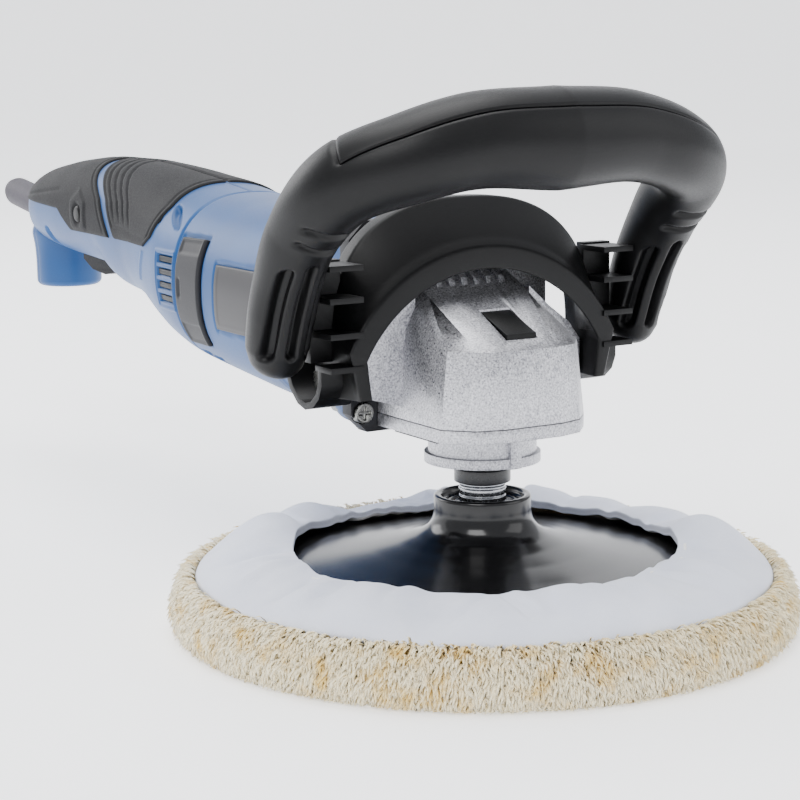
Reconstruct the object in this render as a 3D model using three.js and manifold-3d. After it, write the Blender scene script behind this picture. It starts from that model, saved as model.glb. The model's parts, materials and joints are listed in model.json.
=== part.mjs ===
// Rotary polisher with a bail handle, a right-angle gear head and a wool bonnet.
// Millimetres, +Z up. The spindle axis is X = Y = 0 and the wool rests on Z = 0.
// The motor axis runs along +Y, from the gear head at the nose to the handle at the tail.
import * as THREE from 'three';
import { mergeVertices } from 'three/addons/utils/BufferGeometryUtils.js';
import { ConvexGeometry } from 'three/addons/geometries/ConvexGeometry.js';
import Module from 'manifold-3d';

const wasm = await Module();
wasm.setup();

// ---------------------------------------------------------------- driving dimensions

const GAP = 0.3;             // clearance between pieces that touch
const FIT = 0.4;             // clearance round moving pieces

// bonnet and backing pad
const WOOL_R = 101.3;        // widest radius of the pile
const WOOL_TOP = 18;         // height of the seam between pile and cloth
const WOOL_FLOOR = 4.2;      // pile under the foam
const SEAM_R = 94;           // radius of that seam
const OPENING_R = 62;        // mouth of the cloth
const OPENING_Z = 25.4;      // height of the mouth
const CLOTH = 1.2;           // thickness of the hem
const PAD_R = 88;            // rigid pad
const FOAM_R = 91;           // foam under it
const FOAM_T = 7.5;          // foam thickness
const HUB_R = 15.9;          // rim of the pad's hub
const HUB_Z = 42;            // top of the hub
const INSERT_R = 10.2;       // steel insert in the hub
const THREAD_R = 7;          // spindle thread

// gear head
const MOTOR_Z = 95;          // height of the motor axis
const RING_TEETH = 30;
const PINION_TEETH = 11;
const RING_R = 18;           // pitch radius of the ring gear at its outer end
const FACE = 6.5;            // face width, measured along the radius
const SHAFT_R = 7.75;        // visible spindle
const SLEEVE_R = 9.25;       // dust sleeve above the hub
const FLANGE_R = 19;         // lip at the bottom of the neck
const NECK_R = 17.7;
const FLANGE_Z = 53.2;
const FLANGE_T = 3.2;
const COVER_Z = 64.1;        // underside of the gearbox cover
const COVER_T = 4.1;
const HEAD_W = 27.3;         // half width of the gear head
const NOSE = 29.3;           // nose face, ahead of the spindle axis
const EDGE_Z = 92.6;         // front edge of the sloping top
const HEAD_BACK = 20.5;      // rear face of the gear head
const HEAD_TOP = 117;        // top of the slope at the rear
const CORNER = 7.7;          // width of its bevelled front corners
const HEAD_WALL = 3;
const SPINDLE_BEARING_R = 17;
const SPINDLE_BEARING_T = 10.5;
const PLATE_T = 5.7;         // adapter plate
const PLATE_HALF = 37;       // its half width
const SCREW_X = 32.6;        // plate screws, from the motor axis
const SCREW_RISE = 26.3;
const SCREW_R = 3.4;         // screw heads

// motor
const BODY_R = 34.5;         // half width of the motor housing
const BODY_END = 160;        // where the handle shells begin
const WALL = 2.6;            // plastic walls
const STATOR_R = 29.2;
const STATOR_BORE = 20.2;
const YOKE = 3;              // iron outside the coils
const STATOR_T = 54;
const STATOR_Y = 68;
const ARMATURE_R = 19.6;
const MOTOR_SHAFT_R = 5;
const FAN_R = 29.5;

// rear handle
const TAIL = 368;            // end of the handle
const POMMEL_Y = 351.8;      // axis of the foot under the tail
const POMMEL_R = 15;
const POMMEL_Z = 79;         // its flat foot
const BOOT_R = 7;
const BOOT_LENGTH = 53;      // boot beyond the tail
const BOOT_RISE = 7;         // degrees that the boot points up
const INLAY = 1.6;           // depth of the soft grips and plates in the shells
const PROUD = 0.5;           // how far they stand out

// bail handle
const ARCH_FRONT_R = 57;     // front lip of the saddle
const ARCH_FRONT_Z = 64.7;   // centre height of that lip
const ARCH_HALF = 50;        // rear of the saddle, half width
const ARCH_TOP = 138;      // top of the saddle
const ARCH_WALL = 6;
const LEG_Z = 77;            // foot of the saddle
const ARM_X = 68.7;          // arm centre
const ARM_HALF = 10.5;        // arm half width
const BAR_Z = 158;           // middle of the bar
const BAR_Y = -40;
const BAR_R = 15.6;

// ---------------------------------------------------------------- small helpers

function signedVolume(geometry) {
  const p = geometry.attributes.position;
  const index = geometry.index.array;
  const [a, b, c] = [new THREE.Vector3(), new THREE.Vector3(), new THREE.Vector3()];
  let sum = 0;
  for (let i = 0; i < index.length; i += 3) {
    a.fromBufferAttribute(p, index[i]);
    b.fromBufferAttribute(p, index[i + 1]);
    c.fromBufferAttribute(p, index[i + 2]);
    sum += a.dot(b.cross(c));
  }
  return sum / 6;
}

// Position-only geometry with shared vertices and faces that point out.
function weld(geometry) {
  const bare = new THREE.BufferGeometry();
  bare.setAttribute('position', geometry.attributes.position);
  if (geometry.index) bare.setIndex(geometry.index);
  const merged = mergeVertices(bare, 1e-4);
  const kept = [];
  const index = merged.index.array;
  for (let i = 0; i < index.length; i += 3) {
    const [a, b, c] = [index[i], index[i + 1], index[i + 2]];
    if (a !== b && b !== c && c !== a) kept.push(a, b, c);
  }
  merged.setIndex(kept);
  if (signedVolume(merged) < 0) {
    for (let i = 0; i < kept.length; i += 3) [kept[i], kept[i + 1]] = [kept[i + 1], kept[i]];
    merged.setIndex(kept);
  }
  return merged;
}

function solid(geometry) {
  const g = weld(geometry);
  return new wasm.Manifold(new wasm.Mesh({
    numProp: 3,
    vertProperties: new Float32Array(g.attributes.position.array),
    triVerts: new Uint32Array(g.index.array),
  }));
}

function geometryOf(manifold) {
  const mesh = manifold.getMesh();
  const g = new THREE.BufferGeometry();
  g.setAttribute('position', new THREE.BufferAttribute(new Float32Array(mesh.vertProperties), 3));
  g.setIndex(Array.from(mesh.triVerts));
  return g;
}

const join = (first, ...rest) => rest.reduce((sum, next) => sum.add(next), first);
const cut = (first, ...rest) => rest.reduce((sum, next) => sum.subtract(next), first);
const common = (first, ...rest) => rest.reduce((sum, next) => sum.intersect(next), first);

function box(x0, x1, y0, y1, z0, z1) {
  const g = new THREE.BoxGeometry(x1 - x0, y1 - y0, z1 - z0);
  return solid(g.translate((x0 + x1) / 2, (y0 + y1) / 2, (z0 + z1) / 2));
}

// Profile of [radius, height] pairs turned about the vertical axis through (x, y).
function turnZ(profile, sides = 40, x = 0, y = 0) {
  const g = new THREE.LatheGeometry(profile.map(([r, z]) => new THREE.Vector2(r, z)), sides);
  return solid(g.rotateX(Math.PI / 2).translate(x, y, 0));
}

// Profile of [radius, y] pairs turned about an axis along Y at (x, z).
function turnY(profile, sides = 32, x = 0, z = MOTOR_Z) {
  const g = new THREE.LatheGeometry(profile.map(([r, y]) => new THREE.Vector2(r, y)), sides);
  return solid(g.translate(x, 0, z));
}

// Profile of [radius, x] pairs turned about an axis along X at (y, z).
function turnX(profile, sides, y, z) {
  const g = new THREE.LatheGeometry(profile.map(([r, x]) => new THREE.Vector2(r, x)), sides);
  return solid(g.rotateZ(-Math.PI / 2).translate(0, y, z));
}

const disc = (r, a, b) => [[0, a], [r, a], [r, b], [0, b]];
const ring = (r, bore, a, b) => [[bore, a], [r, a], [r, b], [bore, b], [bore, a]];

// Flat outline moved outwards by `by` all round, corners mitred.
function grown(points, by) {
  const n = points.length;
  const area = points.reduce((sum, [a, b], i) => {
    const [c, d] = points[(i + 1) % n];
    return sum + a * d - b * c;
  }, 0);
  const turn = Math.sign(area);
  const normal = ([a, b], [c, d]) => {
    const size = Math.hypot(c - a, d - b);
    return [(d - b) / size * turn, (a - c) / size * turn];
  };
  return points.map((p, i) => {
    const [na, nb] = [normal(points[(i + n - 1) % n], p), normal(p, points[(i + 1) % n])];
    const share = by / (1 + na[0] * nb[0] + na[1] * nb[1]);
    return [p[0] + (na[0] + nb[0]) * share, p[1] + (na[1] + nb[1]) * share];
  });
}

// Outline of [y, z] pairs extruded from x0 to x1.
function sideProfile(points, x0, x1) {
  const shape = new THREE.Shape(points.map(([y, z]) => new THREE.Vector2(y, z)));
  const g = new THREE.ExtrudeGeometry(shape, { depth: x1 - x0, bevelEnabled: false });
  const axes = new THREE.Matrix4().makeBasis(
    new THREE.Vector3(0, 1, 0), new THREE.Vector3(0, 0, 1), new THREE.Vector3(1, 0, 0));
  return solid(g.applyMatrix4(axes).translate(x0, 0, 0));
}

// Outline of [x, y] pairs extruded from z0 to z1.
function plan(points, z0, z1) {
  const shape = new THREE.Shape(points.map(([x, y]) => new THREE.Vector2(x, y)));
  const g = new THREE.ExtrudeGeometry(shape, { depth: z1 - z0, bevelEnabled: false });
  return solid(g.translate(0, 0, z0));
}

// Outline of [x, z] pairs extruded from y0 to y1.
function frontProfile(points, y0, y1) {
  const shape = new THREE.Shape(points.map(([x, z]) => new THREE.Vector2(x, z)));
  const g = new THREE.ExtrudeGeometry(shape, { depth: y1 - y0, bevelEnabled: false });
  return solid(g.rotateX(Math.PI / 2).translate(0, y1, 0));
}

// Skin over sections that all have the same number of points; the ends are capped flat.
function loft(sections) {
  const n = sections[0].length;
  const position = sections.flat().flatMap((p) => [p.x, p.y, p.z]);
  const index = [];
  for (let s = 0; s + 1 < sections.length; s++) {
    for (let i = 0; i < n; i++) {
      const [a, b] = [s * n + i, s * n + (i + 1) % n];
      index.push(a, b, b + n, a, b + n, a + n);
    }
  }
  const last = (sections.length - 1) * n;
  for (const [a, b, c] of cap(sections[0])) index.push(c, b, a);
  for (const [a, b, c] of cap(sections[sections.length - 1])) index.push(last + a, last + b, last + c);
  const g = new THREE.BufferGeometry();
  g.setAttribute('position', new THREE.Float32BufferAttribute(position, 3));
  g.setIndex(index);
  return solid(g);
}

// Triangles of one flat section, wound the way its points run.
function cap(section) {
  const normal = new THREE.Vector3();
  section.forEach((p, i) => normal.add(p.clone().cross(section[(i + 1) % section.length])));
  normal.normalize();
  const u = section[1].clone().sub(section[0]).normalize();
  const v = normal.clone().cross(u);
  const flat = section.map((p) => new THREE.Vector2(p.dot(u), p.dot(v)));
  return THREE.ShapeUtils.triangulateShape(flat, []);
}

// Value between [key, value] stops.
function eased(stops, at) {
  const next = stops.findIndex(([key]) => key >= at);
  if (next === -1) return stops[stops.length - 1][1];
  if (next === 0) return stops[0][1];
  const [[k0, v0], [k1, v1]] = [stops[next - 1], stops[next]];
  const t = (at - k0) / (k1 - k0);
  return v0 + (v1 - v0) * t;
}

const polished = new THREE.Group();
const hues = {
  blue: [0x4a80b5, 0.45, 0], grip: [0x3a3a3d, 0.8, 0], black: [0x1f1f23, 0.5, 0],
  cast: [0xc4c4c8, 0.45, 0.9], plate: [0x59595c, 0.6, 0.1], steel: [0xb0b2b6, 0.3, 1],
  copper: [0xb06a3a, 0.4, 1], gloss: [0x121212, 0.15, 0], cloth: [0xdde0f2, 0.9, 0],
  wool: [0xf0e6c8, 1, 0], foam: [0xd8d4c8, 1, 0], lime: [0xa0f060, 0.4, 0],
  boot: [0x5a5660, 0.7, 0], iron: [0x6c6e72, 0.5, 0.9], carbon: [0x2c2c2c, 0.9, 0],
  board: [0x2f6b45, 0.6, 0], brass: [0xb89a4a, 0.35, 1],
};

function add(name, manifold, hue) {
  const [color, roughness, metalness] = hues[hue];
  const material = new THREE.MeshStandardMaterial({ color, roughness, metalness });
  const mesh = new THREE.Mesh(geometryOf(manifold), material);
  mesh.name = name;
  polished.add(mesh);
}

// ---------------------------------------------------------------- bonnet and pad

const foamTop = WOOL_FLOOR + GAP + FOAM_T;
const padFloor = foamTop + GAP;
const padTop = [[PAD_R, padFloor + 5.5], [OPENING_R, padFloor + 9], [42, 27], [28, 32], [19.5, 37.5]];

add('bonnet_wool', turnZ([
  [0, 0], [WOOL_R - 4.5, 0], [WOOL_R - 1.4, 2.2], [WOOL_R, 7.5], [WOOL_R - 1, 13],
  [SEAM_R, WOOL_TOP], [FOAM_R + GAP, WOOL_TOP - 1.5],
  [FOAM_R + GAP, WOOL_FLOOR], [0, WOOL_FLOOR]], 40), 'wool');

add('bonnet_hem', turnZ([
  [SEAM_R, WOOL_TOP + GAP], [SEAM_R - 6, WOOL_TOP + 3.2], [SEAM_R - 18, OPENING_Z - 1.6],
  [OPENING_R + 3, OPENING_Z], [OPENING_R, OPENING_Z - 0.6], [OPENING_R + 1, OPENING_Z - CLOTH - 0.6],
  [SEAM_R - 18, OPENING_Z - 1.6 - CLOTH], [SEAM_R - 6, WOOL_TOP + 3.2 - CLOTH],
  [SEAM_R - 2, WOOL_TOP + GAP], [SEAM_R, WOOL_TOP + GAP]], 40), 'cloth');

add('foam_layer', turnZ(disc(FOAM_R, WOOL_FLOOR + GAP, foamTop), 40), 'foam');

add('backing_pad', turnZ([
  [INSERT_R + GAP, padFloor], [PAD_R, padFloor], ...padTop,
  [HUB_R + 0.6, HUB_Z - 1.6], [HUB_R, HUB_Z], [HUB_R - 2.4, HUB_Z], [HUB_R - 2.9, HUB_Z - 2.4],
  [INSERT_R + GAP, HUB_Z - 2.4], [INSERT_R + GAP, padFloor]], 40), 'gloss');

add('hub_insert', turnZ(ring(INSERT_R, THREAD_R + GAP, padFloor + 1, HUB_Z - 3), 24), 'steel');

// ---------------------------------------------------------------- spindle and gears

const pinionR = RING_R * PINION_TEETH / RING_TEETH;
const pitchZ = MOTOR_Z - pinionR;                 // where the two pitch circles meet
const toothUp = 1.0 * RING_R / RING_TEETH * 1.6;  // addendum at the outer end
const toothDown = toothUp * 1.25;
const SHARE = 0.40;                               // share of the pitch that a tooth fills

// Heights of the four corners of each tooth round a gear, as [angle, height, ...].
function toothRing(count, phase, topShare) {
  const corners = [];
  const pitch = 2 * Math.PI / count;
  for (let k = 0; k < count; k++) {
    const mid = k * pitch + phase;
    const root = pitch * (SHARE + 0.12) / 2;
    const tip = pitch * topShare / 2;
    corners.push([mid - root, -toothDown], [mid - tip, toothUp], [mid + tip, toothUp]);
    corners.push([mid + root, -toothDown]);
  }
  return corners;
}

const gearBack = pitchZ - toothDown - 4.5;
const coneAngle = Math.atan2(RING_R, pinionR);     // pitch cone of the ring gear
function ringGear() {
  const corners = toothRing(RING_TEETH, Math.PI / 2 + Math.PI / RING_TEETH, 0.26);
  const sections = corners.map(([angle, height]) => {
    const along = (radius) => {
      const scale = radius / RING_R;
      const r = (RING_R + height * Math.cos(coneAngle)) * scale;
      const z = MOTOR_Z - (pinionR - height * Math.sin(coneAngle)) * scale;
      return new THREE.Vector3(r * Math.cos(angle), r * Math.sin(angle), z);
    };
    const at = (r, z) => new THREE.Vector3(r * Math.cos(angle), r * Math.sin(angle), z);
    const bore = 6 + GAP;
    return [at(bore, gearBack), at(RING_R - 1.5, gearBack), along(RING_R), along(RING_R - FACE),
      at(bore, pitchZ - toothDown)];
  });
  const n = sections[0].length;
  const position = sections.flat().flatMap((p) => [p.x, p.y, p.z]);
  const index = [];
  sections.forEach((_, s) => {
    const next = (s + 1) % sections.length;
    for (let i = 0; i < n; i++) {
      const j = (i + 1) % n;
      index.push(s * n + i, s * n + j, next * n + j, s * n + i, next * n + j, next * n + i);
    }
  });
  const g = new THREE.BufferGeometry();
  g.setAttribute('position', new THREE.Float32BufferAttribute(position, 3));
  g.setIndex(index);
  return solid(g);
}
add('ring_gear', ringGear(), 'steel');

function pinion() {
  const outline = (y) => {
    const scale = y / RING_R;
    return toothRing(PINION_TEETH, -Math.PI / 2, 0.24).map(([angle, height]) => {
      const r = (pinionR + height) * scale;
      return new THREE.Vector3(r * Math.cos(angle), y, MOTOR_Z + r * Math.sin(angle));
    });
  };
  return cut(loft([outline(RING_R - FACE), outline(RING_R)]),
    turnY(disc(2.6, RING_R - FACE - 1, RING_R + 1), 12));
}
add('pinion', pinion(), 'steel');

const bearingFloor = COVER_Z + 2.6;
const bearingTop = bearingFloor + SPINDLE_BEARING_T;
const needleZ = 94.2;
add('spindle', turnZ([
  [0, padFloor + 2], [THREAD_R, padFloor + 2], [THREAD_R, HUB_Z - 3.5], [SHAFT_R, HUB_Z - 2],
  [SHAFT_R, HUB_Z + 4], [THREAD_R, HUB_Z + 4], [THREAD_R, bearingTop + 0.8], [6, bearingTop + 0.8],
  [6, pitchZ - toothDown - 0.4], [4, pitchZ - toothDown - 0.4], [4, needleZ + 4.3], [0, needleZ + 4.3]], 24), 'steel');
add('spindle_sleeve', turnZ(ring(SLEEVE_R, THREAD_R + GAP, HUB_Z + 4 + GAP, COVER_Z - 0.4), 24), 'black');
add('spindle_bearing', turnZ(
  ring(SPINDLE_BEARING_R, THREAD_R + GAP, bearingFloor + GAP, bearingTop), 28), 'steel');
add('needle_bearing', turnZ(ring(7.5, 4 + GAP, needleZ - 1.5, needleZ + 4), 20), 'steel');

// ---------------------------------------------------------------- gear head

// Plan of the head at its parting line, grown or shrunk by `grow`.
function headPlan(grow) {
  const [w, n, b] = [HEAD_W + grow, NOSE + grow, HEAD_BACK];
  const half = [[w, b], [w, -n + 11], [w - CORNER, -n + 2.6], [w - CORNER - 9, -n]];
  return [...half, ...half.map(([x, y]) => [-x, y]).reverse()];
}

const coverTop = COVER_Z + COVER_T;
const headFloor = coverTop + GAP;
const bossR = SPINDLE_BEARING_R + 3;
const slope = (HEAD_TOP - EDGE_Z) / (HEAD_BACK + NOSE - 3.2);
const topAt = (y) => EDGE_Z + slope * (y + NOSE - 3.2);

const key = box(-2, 2, -FLANGE_R - 0.7, -NECK_R + 1, FLANGE_Z, COVER_Z + 0.5);
const coverBody = join(
  plan(headPlan(0), COVER_Z, coverTop),
  turnZ(disc(NECK_R, FLANGE_Z + 1, COVER_Z + 1), 40),
  turnZ(disc(FLANGE_R, FLANGE_Z, FLANGE_Z + FLANGE_T), 40),
  turnZ(disc(bossR, COVER_Z + 1, bearingTop + 1), 40),
  key);
const screwSpots = [[-20.5, -18.5], [20.5, -18.5], [-22.5, 15.5], [22.5, 15.5]];
const screwHole = ([x, y]) => turnZ(disc(1.9 + GAP, COVER_Z - 1, headFloor + 9), 10, x, y);
const screwSink = ([x, y]) => turnZ(disc(SCREW_R + GAP, COVER_Z - 1, COVER_Z + 2), 14, x, y);
add('gearbox_cover', cut(coverBody,
  turnZ(disc(SLEEVE_R + FIT, FLANGE_Z - 1, bearingFloor - 0.4), 28),
  turnZ(disc(SPINDLE_BEARING_R - 4, bearingFloor - 1, bearingFloor + 1), 24),
  turnZ(disc(SPINDLE_BEARING_R + GAP, bearingFloor, bearingTop + 2), 28),
  ...screwSpots.map(screwHole), ...screwSpots.map(screwSink)), 'cast');

screwSpots.forEach(([x, y], i) => {
  const shank = turnZ(disc(1.9, COVER_Z + 0.4, headFloor + 8), 10, x, y);
  const head = turnZ(disc(SCREW_R, COVER_Z + 0.2, COVER_Z + 1.7), 14, x, y);
  const slotA = box(x - 2.2, x + 2.2, y - 0.45, y + 0.45, COVER_Z, COVER_Z + 1);
  const slotB = box(x - 0.45, x + 0.45, y - 2.2, y + 2.2, COVER_Z, COVER_Z + 1);
  add(`cover_screw_${i + 1}`, cut(join(shank, head), slotA, slotB), 'steel');
});

// Outer hull of the head: a drafted block with a sloping top and bevelled shoulders.
function headHull(grow, floor) {
  const points = [];
  for (const side of [-1, 1]) {
    const at = (x, y, z) => points.push(new THREE.Vector3(side * (x + grow), y, z));
    const front = -(NOSE + grow);
    at(HEAD_W, HEAD_BACK - 0.05, floor);
    at(HEAD_W, -NOSE + 11, floor);
    at(HEAD_W - CORNER, front + 2.6, floor);
    at(HEAD_W - CORNER - 9, front, floor);
    at(HEAD_W - 2.6, -NOSE + 11.5, EDGE_Z + grow);
    at(HEAD_W - CORNER - 1.6, front + 3.6, EDGE_Z + grow);
    at(HEAD_W - CORNER - 10, front + 1, EDGE_Z + grow);
    at(HEAD_W - 1, HEAD_BACK - 0.05, EDGE_Z + 8 + grow);
    at(HEAD_W - 9.5, HEAD_BACK - 0.05, HEAD_TOP + grow);
    at(HEAD_W - 8.5, 2, topAt(2) + grow);
  }
  return solid(new ConvexGeometry(points));
}

const FLANGE_DEPTH = 5;
const flangeTop = MOTOR_Z + PLATE_HALF - 1;
const flangeOutline = (half, bottom, chamfer) => [
  [-half, bottom + chamfer], [-half + chamfer, bottom], [half - chamfer, bottom], [half, bottom + chamfer],
  [half, flangeTop - chamfer], [half - chamfer, flangeTop], [-half + chamfer, flangeTop],
  [-half, flangeTop - chamfer]];
const flange = frontProfile(flangeOutline(PLATE_HALF - 1, MOTOR_Z - 20, 9), HEAD_BACK - FLANGE_DEPTH, HEAD_BACK);

// recess in the slope for the lock button, and its shaft down to the gear
const BUTTON = { x: 5.6, front: -22.6, back: -7.6, lift: 2.4, under: 0.7, press: 1.5 };
const wellFloor = (y) => topAt(y) - BUTTON.under - BUTTON.press - GAP;
const wellEnds = [BUTTON.front - FIT, BUTTON.back + FIT];
const buttonWell = sideProfile([
  [wellEnds[0], wellFloor(wellEnds[0])], [wellEnds[1], wellFloor(wellEnds[1])],
  [wellEnds[1], HEAD_TOP], [wellEnds[0], HEAD_TOP]], -BUTTON.x - FIT, BUTTON.x + FIT);
const PIN = { y: -15.6, r: 2, gap: 0.6 };
const pinFoot = pitchZ + toothUp + BUTTON.press + PIN.gap + 0.6;
const pinBore = turnZ(disc(PIN.r + FIT, pitchZ + toothUp, wellFloor(PIN.y) + 2), 12, 0, PIN.y);

const fins = [];
for (const x of [-12, -7.2, -2.4, 2.4, 7.2, 12]) {
  fins.push(sideProfile([[5, topAt(5) - 1], [7, topAt(7) + 2.2], [19, topAt(19) + 2.2], [19, topAt(19) - 1]],
    x - 1.1, x + 1.1));
}
const BOLT = { y: 15, z: 82, r: 3, head: 4.5 };
const handleTap = (side) => turnX(disc(BOLT.r + GAP, side * 21, side * 44), 14, BOLT.y, BOLT.z);
const headCavity = common(headHull(-HEAD_WALL, headFloor - 5),
  box(-60, 60, -60, HEAD_BACK + 1, headFloor - 5, MOTOR_Z - 2.8));
const handleBoss = (side) => frontProfile([[22, 71], [22, 108], [30, 101], [38, 95], [42.5, 89], [42.5, 76.5],
  [36, 75]].map(([x, z]) => [side * x, z]), 5, HEAD_BACK - 0.8);
add('gear_housing', cut(
  join(headHull(0, headFloor), flange, handleBoss(1), handleBoss(-1), ...fins),
  headCavity,
  turnZ(disc(RING_R + 1.2, headFloor - 1, pitchZ + toothUp + 0.6), 36),
  turnY(disc(15 + GAP, HEAD_BACK - 4, HEAD_BACK + 1), 28),
  turnY(disc(9.5, 6, HEAD_BACK), 24),
  turnZ(disc(7.5 + GAP, EDGE_Z - 3, needleZ + 4.6), 20),
  buttonWell, pinBore, handleTap(1), handleTap(-1),
  ...screwSpots.map(screwHole)), 'cast');

add('spindle_lock_button', join(
  sideProfile([
    [BUTTON.front, topAt(BUTTON.front) - BUTTON.under], [BUTTON.back, topAt(BUTTON.back) - BUTTON.under],
    [BUTTON.back, topAt(BUTTON.back) + 0.3], [BUTTON.front, topAt(BUTTON.front) + BUTTON.lift]],
  -BUTTON.x, BUTTON.x),
  turnZ(disc(PIN.r, pinFoot, topAt(PIN.y)), 12, 0, PIN.y)), 'black');

// adapter plate between the head and the motor housing, with a tongue under the cover
const plateY = HEAD_BACK + GAP;
const plateSpots = [[-1, -1], [1, -1], [-1, 1], [1, 1]].map(
  ([sx, sz]) => [sx * SCREW_X, MOTOR_Z + sz * SCREW_RISE]);
const plateBody = join(
  frontProfile(flangeOutline(PLATE_HALF, 62.2, 6), plateY, plateY + PLATE_T),
  box(-20, 20, -4, plateY + 1, COVER_Z - 3, COVER_Z - GAP));
add('adapter_plate', cut(plateBody,
  turnZ(disc(NECK_R + 1, 40, 80), 32),
  turnY(disc(16, plateY - 1, plateY + PLATE_T + 1), 28),
  ...plateSpots.map(([x, z]) => turnY(disc(2 + GAP, plateY - 1, plateY + PLATE_T + 1), 10, x, z)),
  ...plateSpots.map(([x, z]) => turnY(disc(SCREW_R + GAP, plateY - 1, plateY + 2.2), 16, x, z))), 'plate');
plateSpots.forEach(([x, z], i) => {
  const low = z < MOTOR_Z;
  const headFront = low ? plateY - 1.4 : plateY + 0.3;
  const head = turnY(disc(SCREW_R, headFront, plateY + 1.9), 16, x, z);
  const shank = turnY(disc(2, plateY + 1, plateY + 18), 10, x, z);
  const slotA = box(x - 2.2, x + 2.2, headFront - 1, headFront + 0.8, z - 0.5, z + 0.5);
  const slotB = box(x - 0.5, x + 0.5, headFront - 1, headFront + 0.8, z - 2.2, z + 2.2);
  add(`plate_screw_${i + 1}`, cut(join(head, shank), slotA, slotB), 'steel');
});

// ---------------------------------------------------------------- motor

const frontBearing = [HEAD_BACK - 1, plateY + PLATE_T + 2];
const shaftEnd = BODY_END + 14;
add('motor_bearing_front', turnY(ring(15, MOTOR_SHAFT_R + GAP, frontBearing[0], frontBearing[1]), 24), 'steel');
add('motor_bearing_rear', turnY(ring(11, 4 + GAP, shaftEnd - 9, shaftEnd - 2), 20), 'steel');
add('armature_shaft', turnY([
  [0, RING_R - FACE - 0.6], [2.3, RING_R - FACE - 0.6], [2.3, RING_R + 0.4], [MOTOR_SHAFT_R, RING_R + 0.4],
  [MOTOR_SHAFT_R, shaftEnd - 11], [4, shaftEnd - 11], [4, shaftEnd], [0, shaftEnd]], 16), 'steel');
add('armature_core', turnY(
  ring(ARMATURE_R, MOTOR_SHAFT_R + GAP, STATOR_Y, STATOR_Y + STATOR_T), 24), 'iron');
add('commutator', turnY(ring(13, MOTOR_SHAFT_R + GAP, STATOR_Y + STATOR_T + 12, STATOR_Y + STATOR_T + 28), 24), 'copper');

function fan() {
  const [y0, y1] = [plateY + PLATE_T + 5, plateY + PLATE_T + 17];
  const back = turnY(disc(FAN_R, y1 - 1.6, y1), 28);
  const hub = turnY(disc(11, y0, y1), 20);
  const blades = [];
  for (let k = 0; k < 10; k++) {
    const blade = box(9, FAN_R - 1, y0, y1 - 1, -0.8, 0.8).rotate([0, k * 36, 0]);
    blades.push(blade.translate([0, 0, MOTOR_Z]));
  }
  return cut(join(back, hub, ...blades), turnY(disc(MOTOR_SHAFT_R + GAP, y0 - 1, y1 + 1), 16));
}
add('cooling_fan', fan(), 'black');

const statorBody = turnY(ring(STATOR_R, STATOR_BORE, STATOR_Y, STATOR_Y + STATOR_T), 32);
const coilSlot = (side) => turnY(ring(STATOR_R - YOKE, STATOR_BORE - 1, STATOR_Y - 1, STATOR_Y + STATOR_T + 1), 32)
  .intersect(box(-40, 40, 0, 200, side > 0 ? MOTOR_Z + 9 : 0, side > 0 ? 200 : MOTOR_Z - 9));
add('stator_core', cut(statorBody, coilSlot(1), coilSlot(-1)), 'iron');
for (const [name, side] of [['upper', 1], ['lower', -1]]) {
  const coil = turnY(ring(STATOR_R - YOKE - 0.4, STATOR_BORE + 0.6, STATOR_Y - 7, STATOR_Y + STATOR_T + 7), 32)
    .intersect(box(-40, 40, 0, 200, side > 0 ? MOTOR_Z + 9.6 : 0, side > 0 ? 200 : MOTOR_Z - 9.6));
  add(`field_winding_${name}`, coil, 'copper');
}

// ---------------------------------------------------------------- body shells

// Half width, underside and top of the plastic body along Y.
const widthStops = [[30, BODY_R], [BODY_END, BODY_R - 0.1], [170, 34], [185, 32.5], [200, 30], [215, 27.7],
  [230, 26], [252, 25], [290, 23.4], [315, 22.4], [TAIL - 28, 20.5], [TAIL - 16, 18.6], [TAIL - 8, 16],
  [TAIL, 10]];
const floorStops = [[30, 59.8], [100, 60], [135, 63.1], [BODY_END, 65.4], [170, 66.6], [185, 69.7], [200, 74],
  [215, 80], [230, 84], [252, 86.2], [258, 88.5], [266, 93.6], [290, 95], [315, 96.2], [TAIL - 28, 98],
  [TAIL - 16, 99.8], [TAIL - 8, 102.4], [TAIL, 108]];
const topStops = [[30, 128.8], [100, 129.4], [135, 130.2], [BODY_END, 131.9], [170, 133], [185, 135],
  [200, 136.4], [215, 137.9], [230, 139], [252, 140.2], [290, 140.1], [315, 137.8], [TAIL - 28, 134.3],
  [TAIL - 16, 131.4], [TAIL - 8, 128], [TAIL, 121]];
const POWER = 2.35;          // squareness of the sections

function bodySection(y, grow, sides = 20) {
  const half = eased(widthStops, y) + grow;
  const [low, high] = [eased(floorStops, y) - grow, eased(topStops, y) + grow];
  const [mid, rise] = [(low + high) / 2, (high - low) / 2];
  const points = [];
  for (let k = 0; k < sides; k++) {
    const a = (k + 0.5) / sides * 2 * Math.PI;
    const soft = (v) => Math.sign(v) * Math.abs(v) ** (2 / POWER);
    points.push(new THREE.Vector3(half * soft(Math.cos(a)), y, mid + rise * soft(Math.sin(a))));
  }
  return points;
}

const bodyStations = [...new Set([...widthStops, ...floorStops, ...topStops].map(([y]) => y))].sort((a, b) => a - b);
function bodyLoft(y0, y1, grow) {
  const inside = bodyStations.filter((y) => y > y0 + 0.5 && y < y1 - 0.5);
  return loft([y0, ...inside, y1].map((y) => bodySection(y, grow)));
}

const FAR = 80;
const leftHalf = box(-FAR, -GAP / 2, 0, 600, 0, 300);
const rightHalf = box(GAP / 2, FAR, 0, 600, 0, 300);
const halves = [['left', -1, leftHalf], ['right', 1, rightHalf]];

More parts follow.
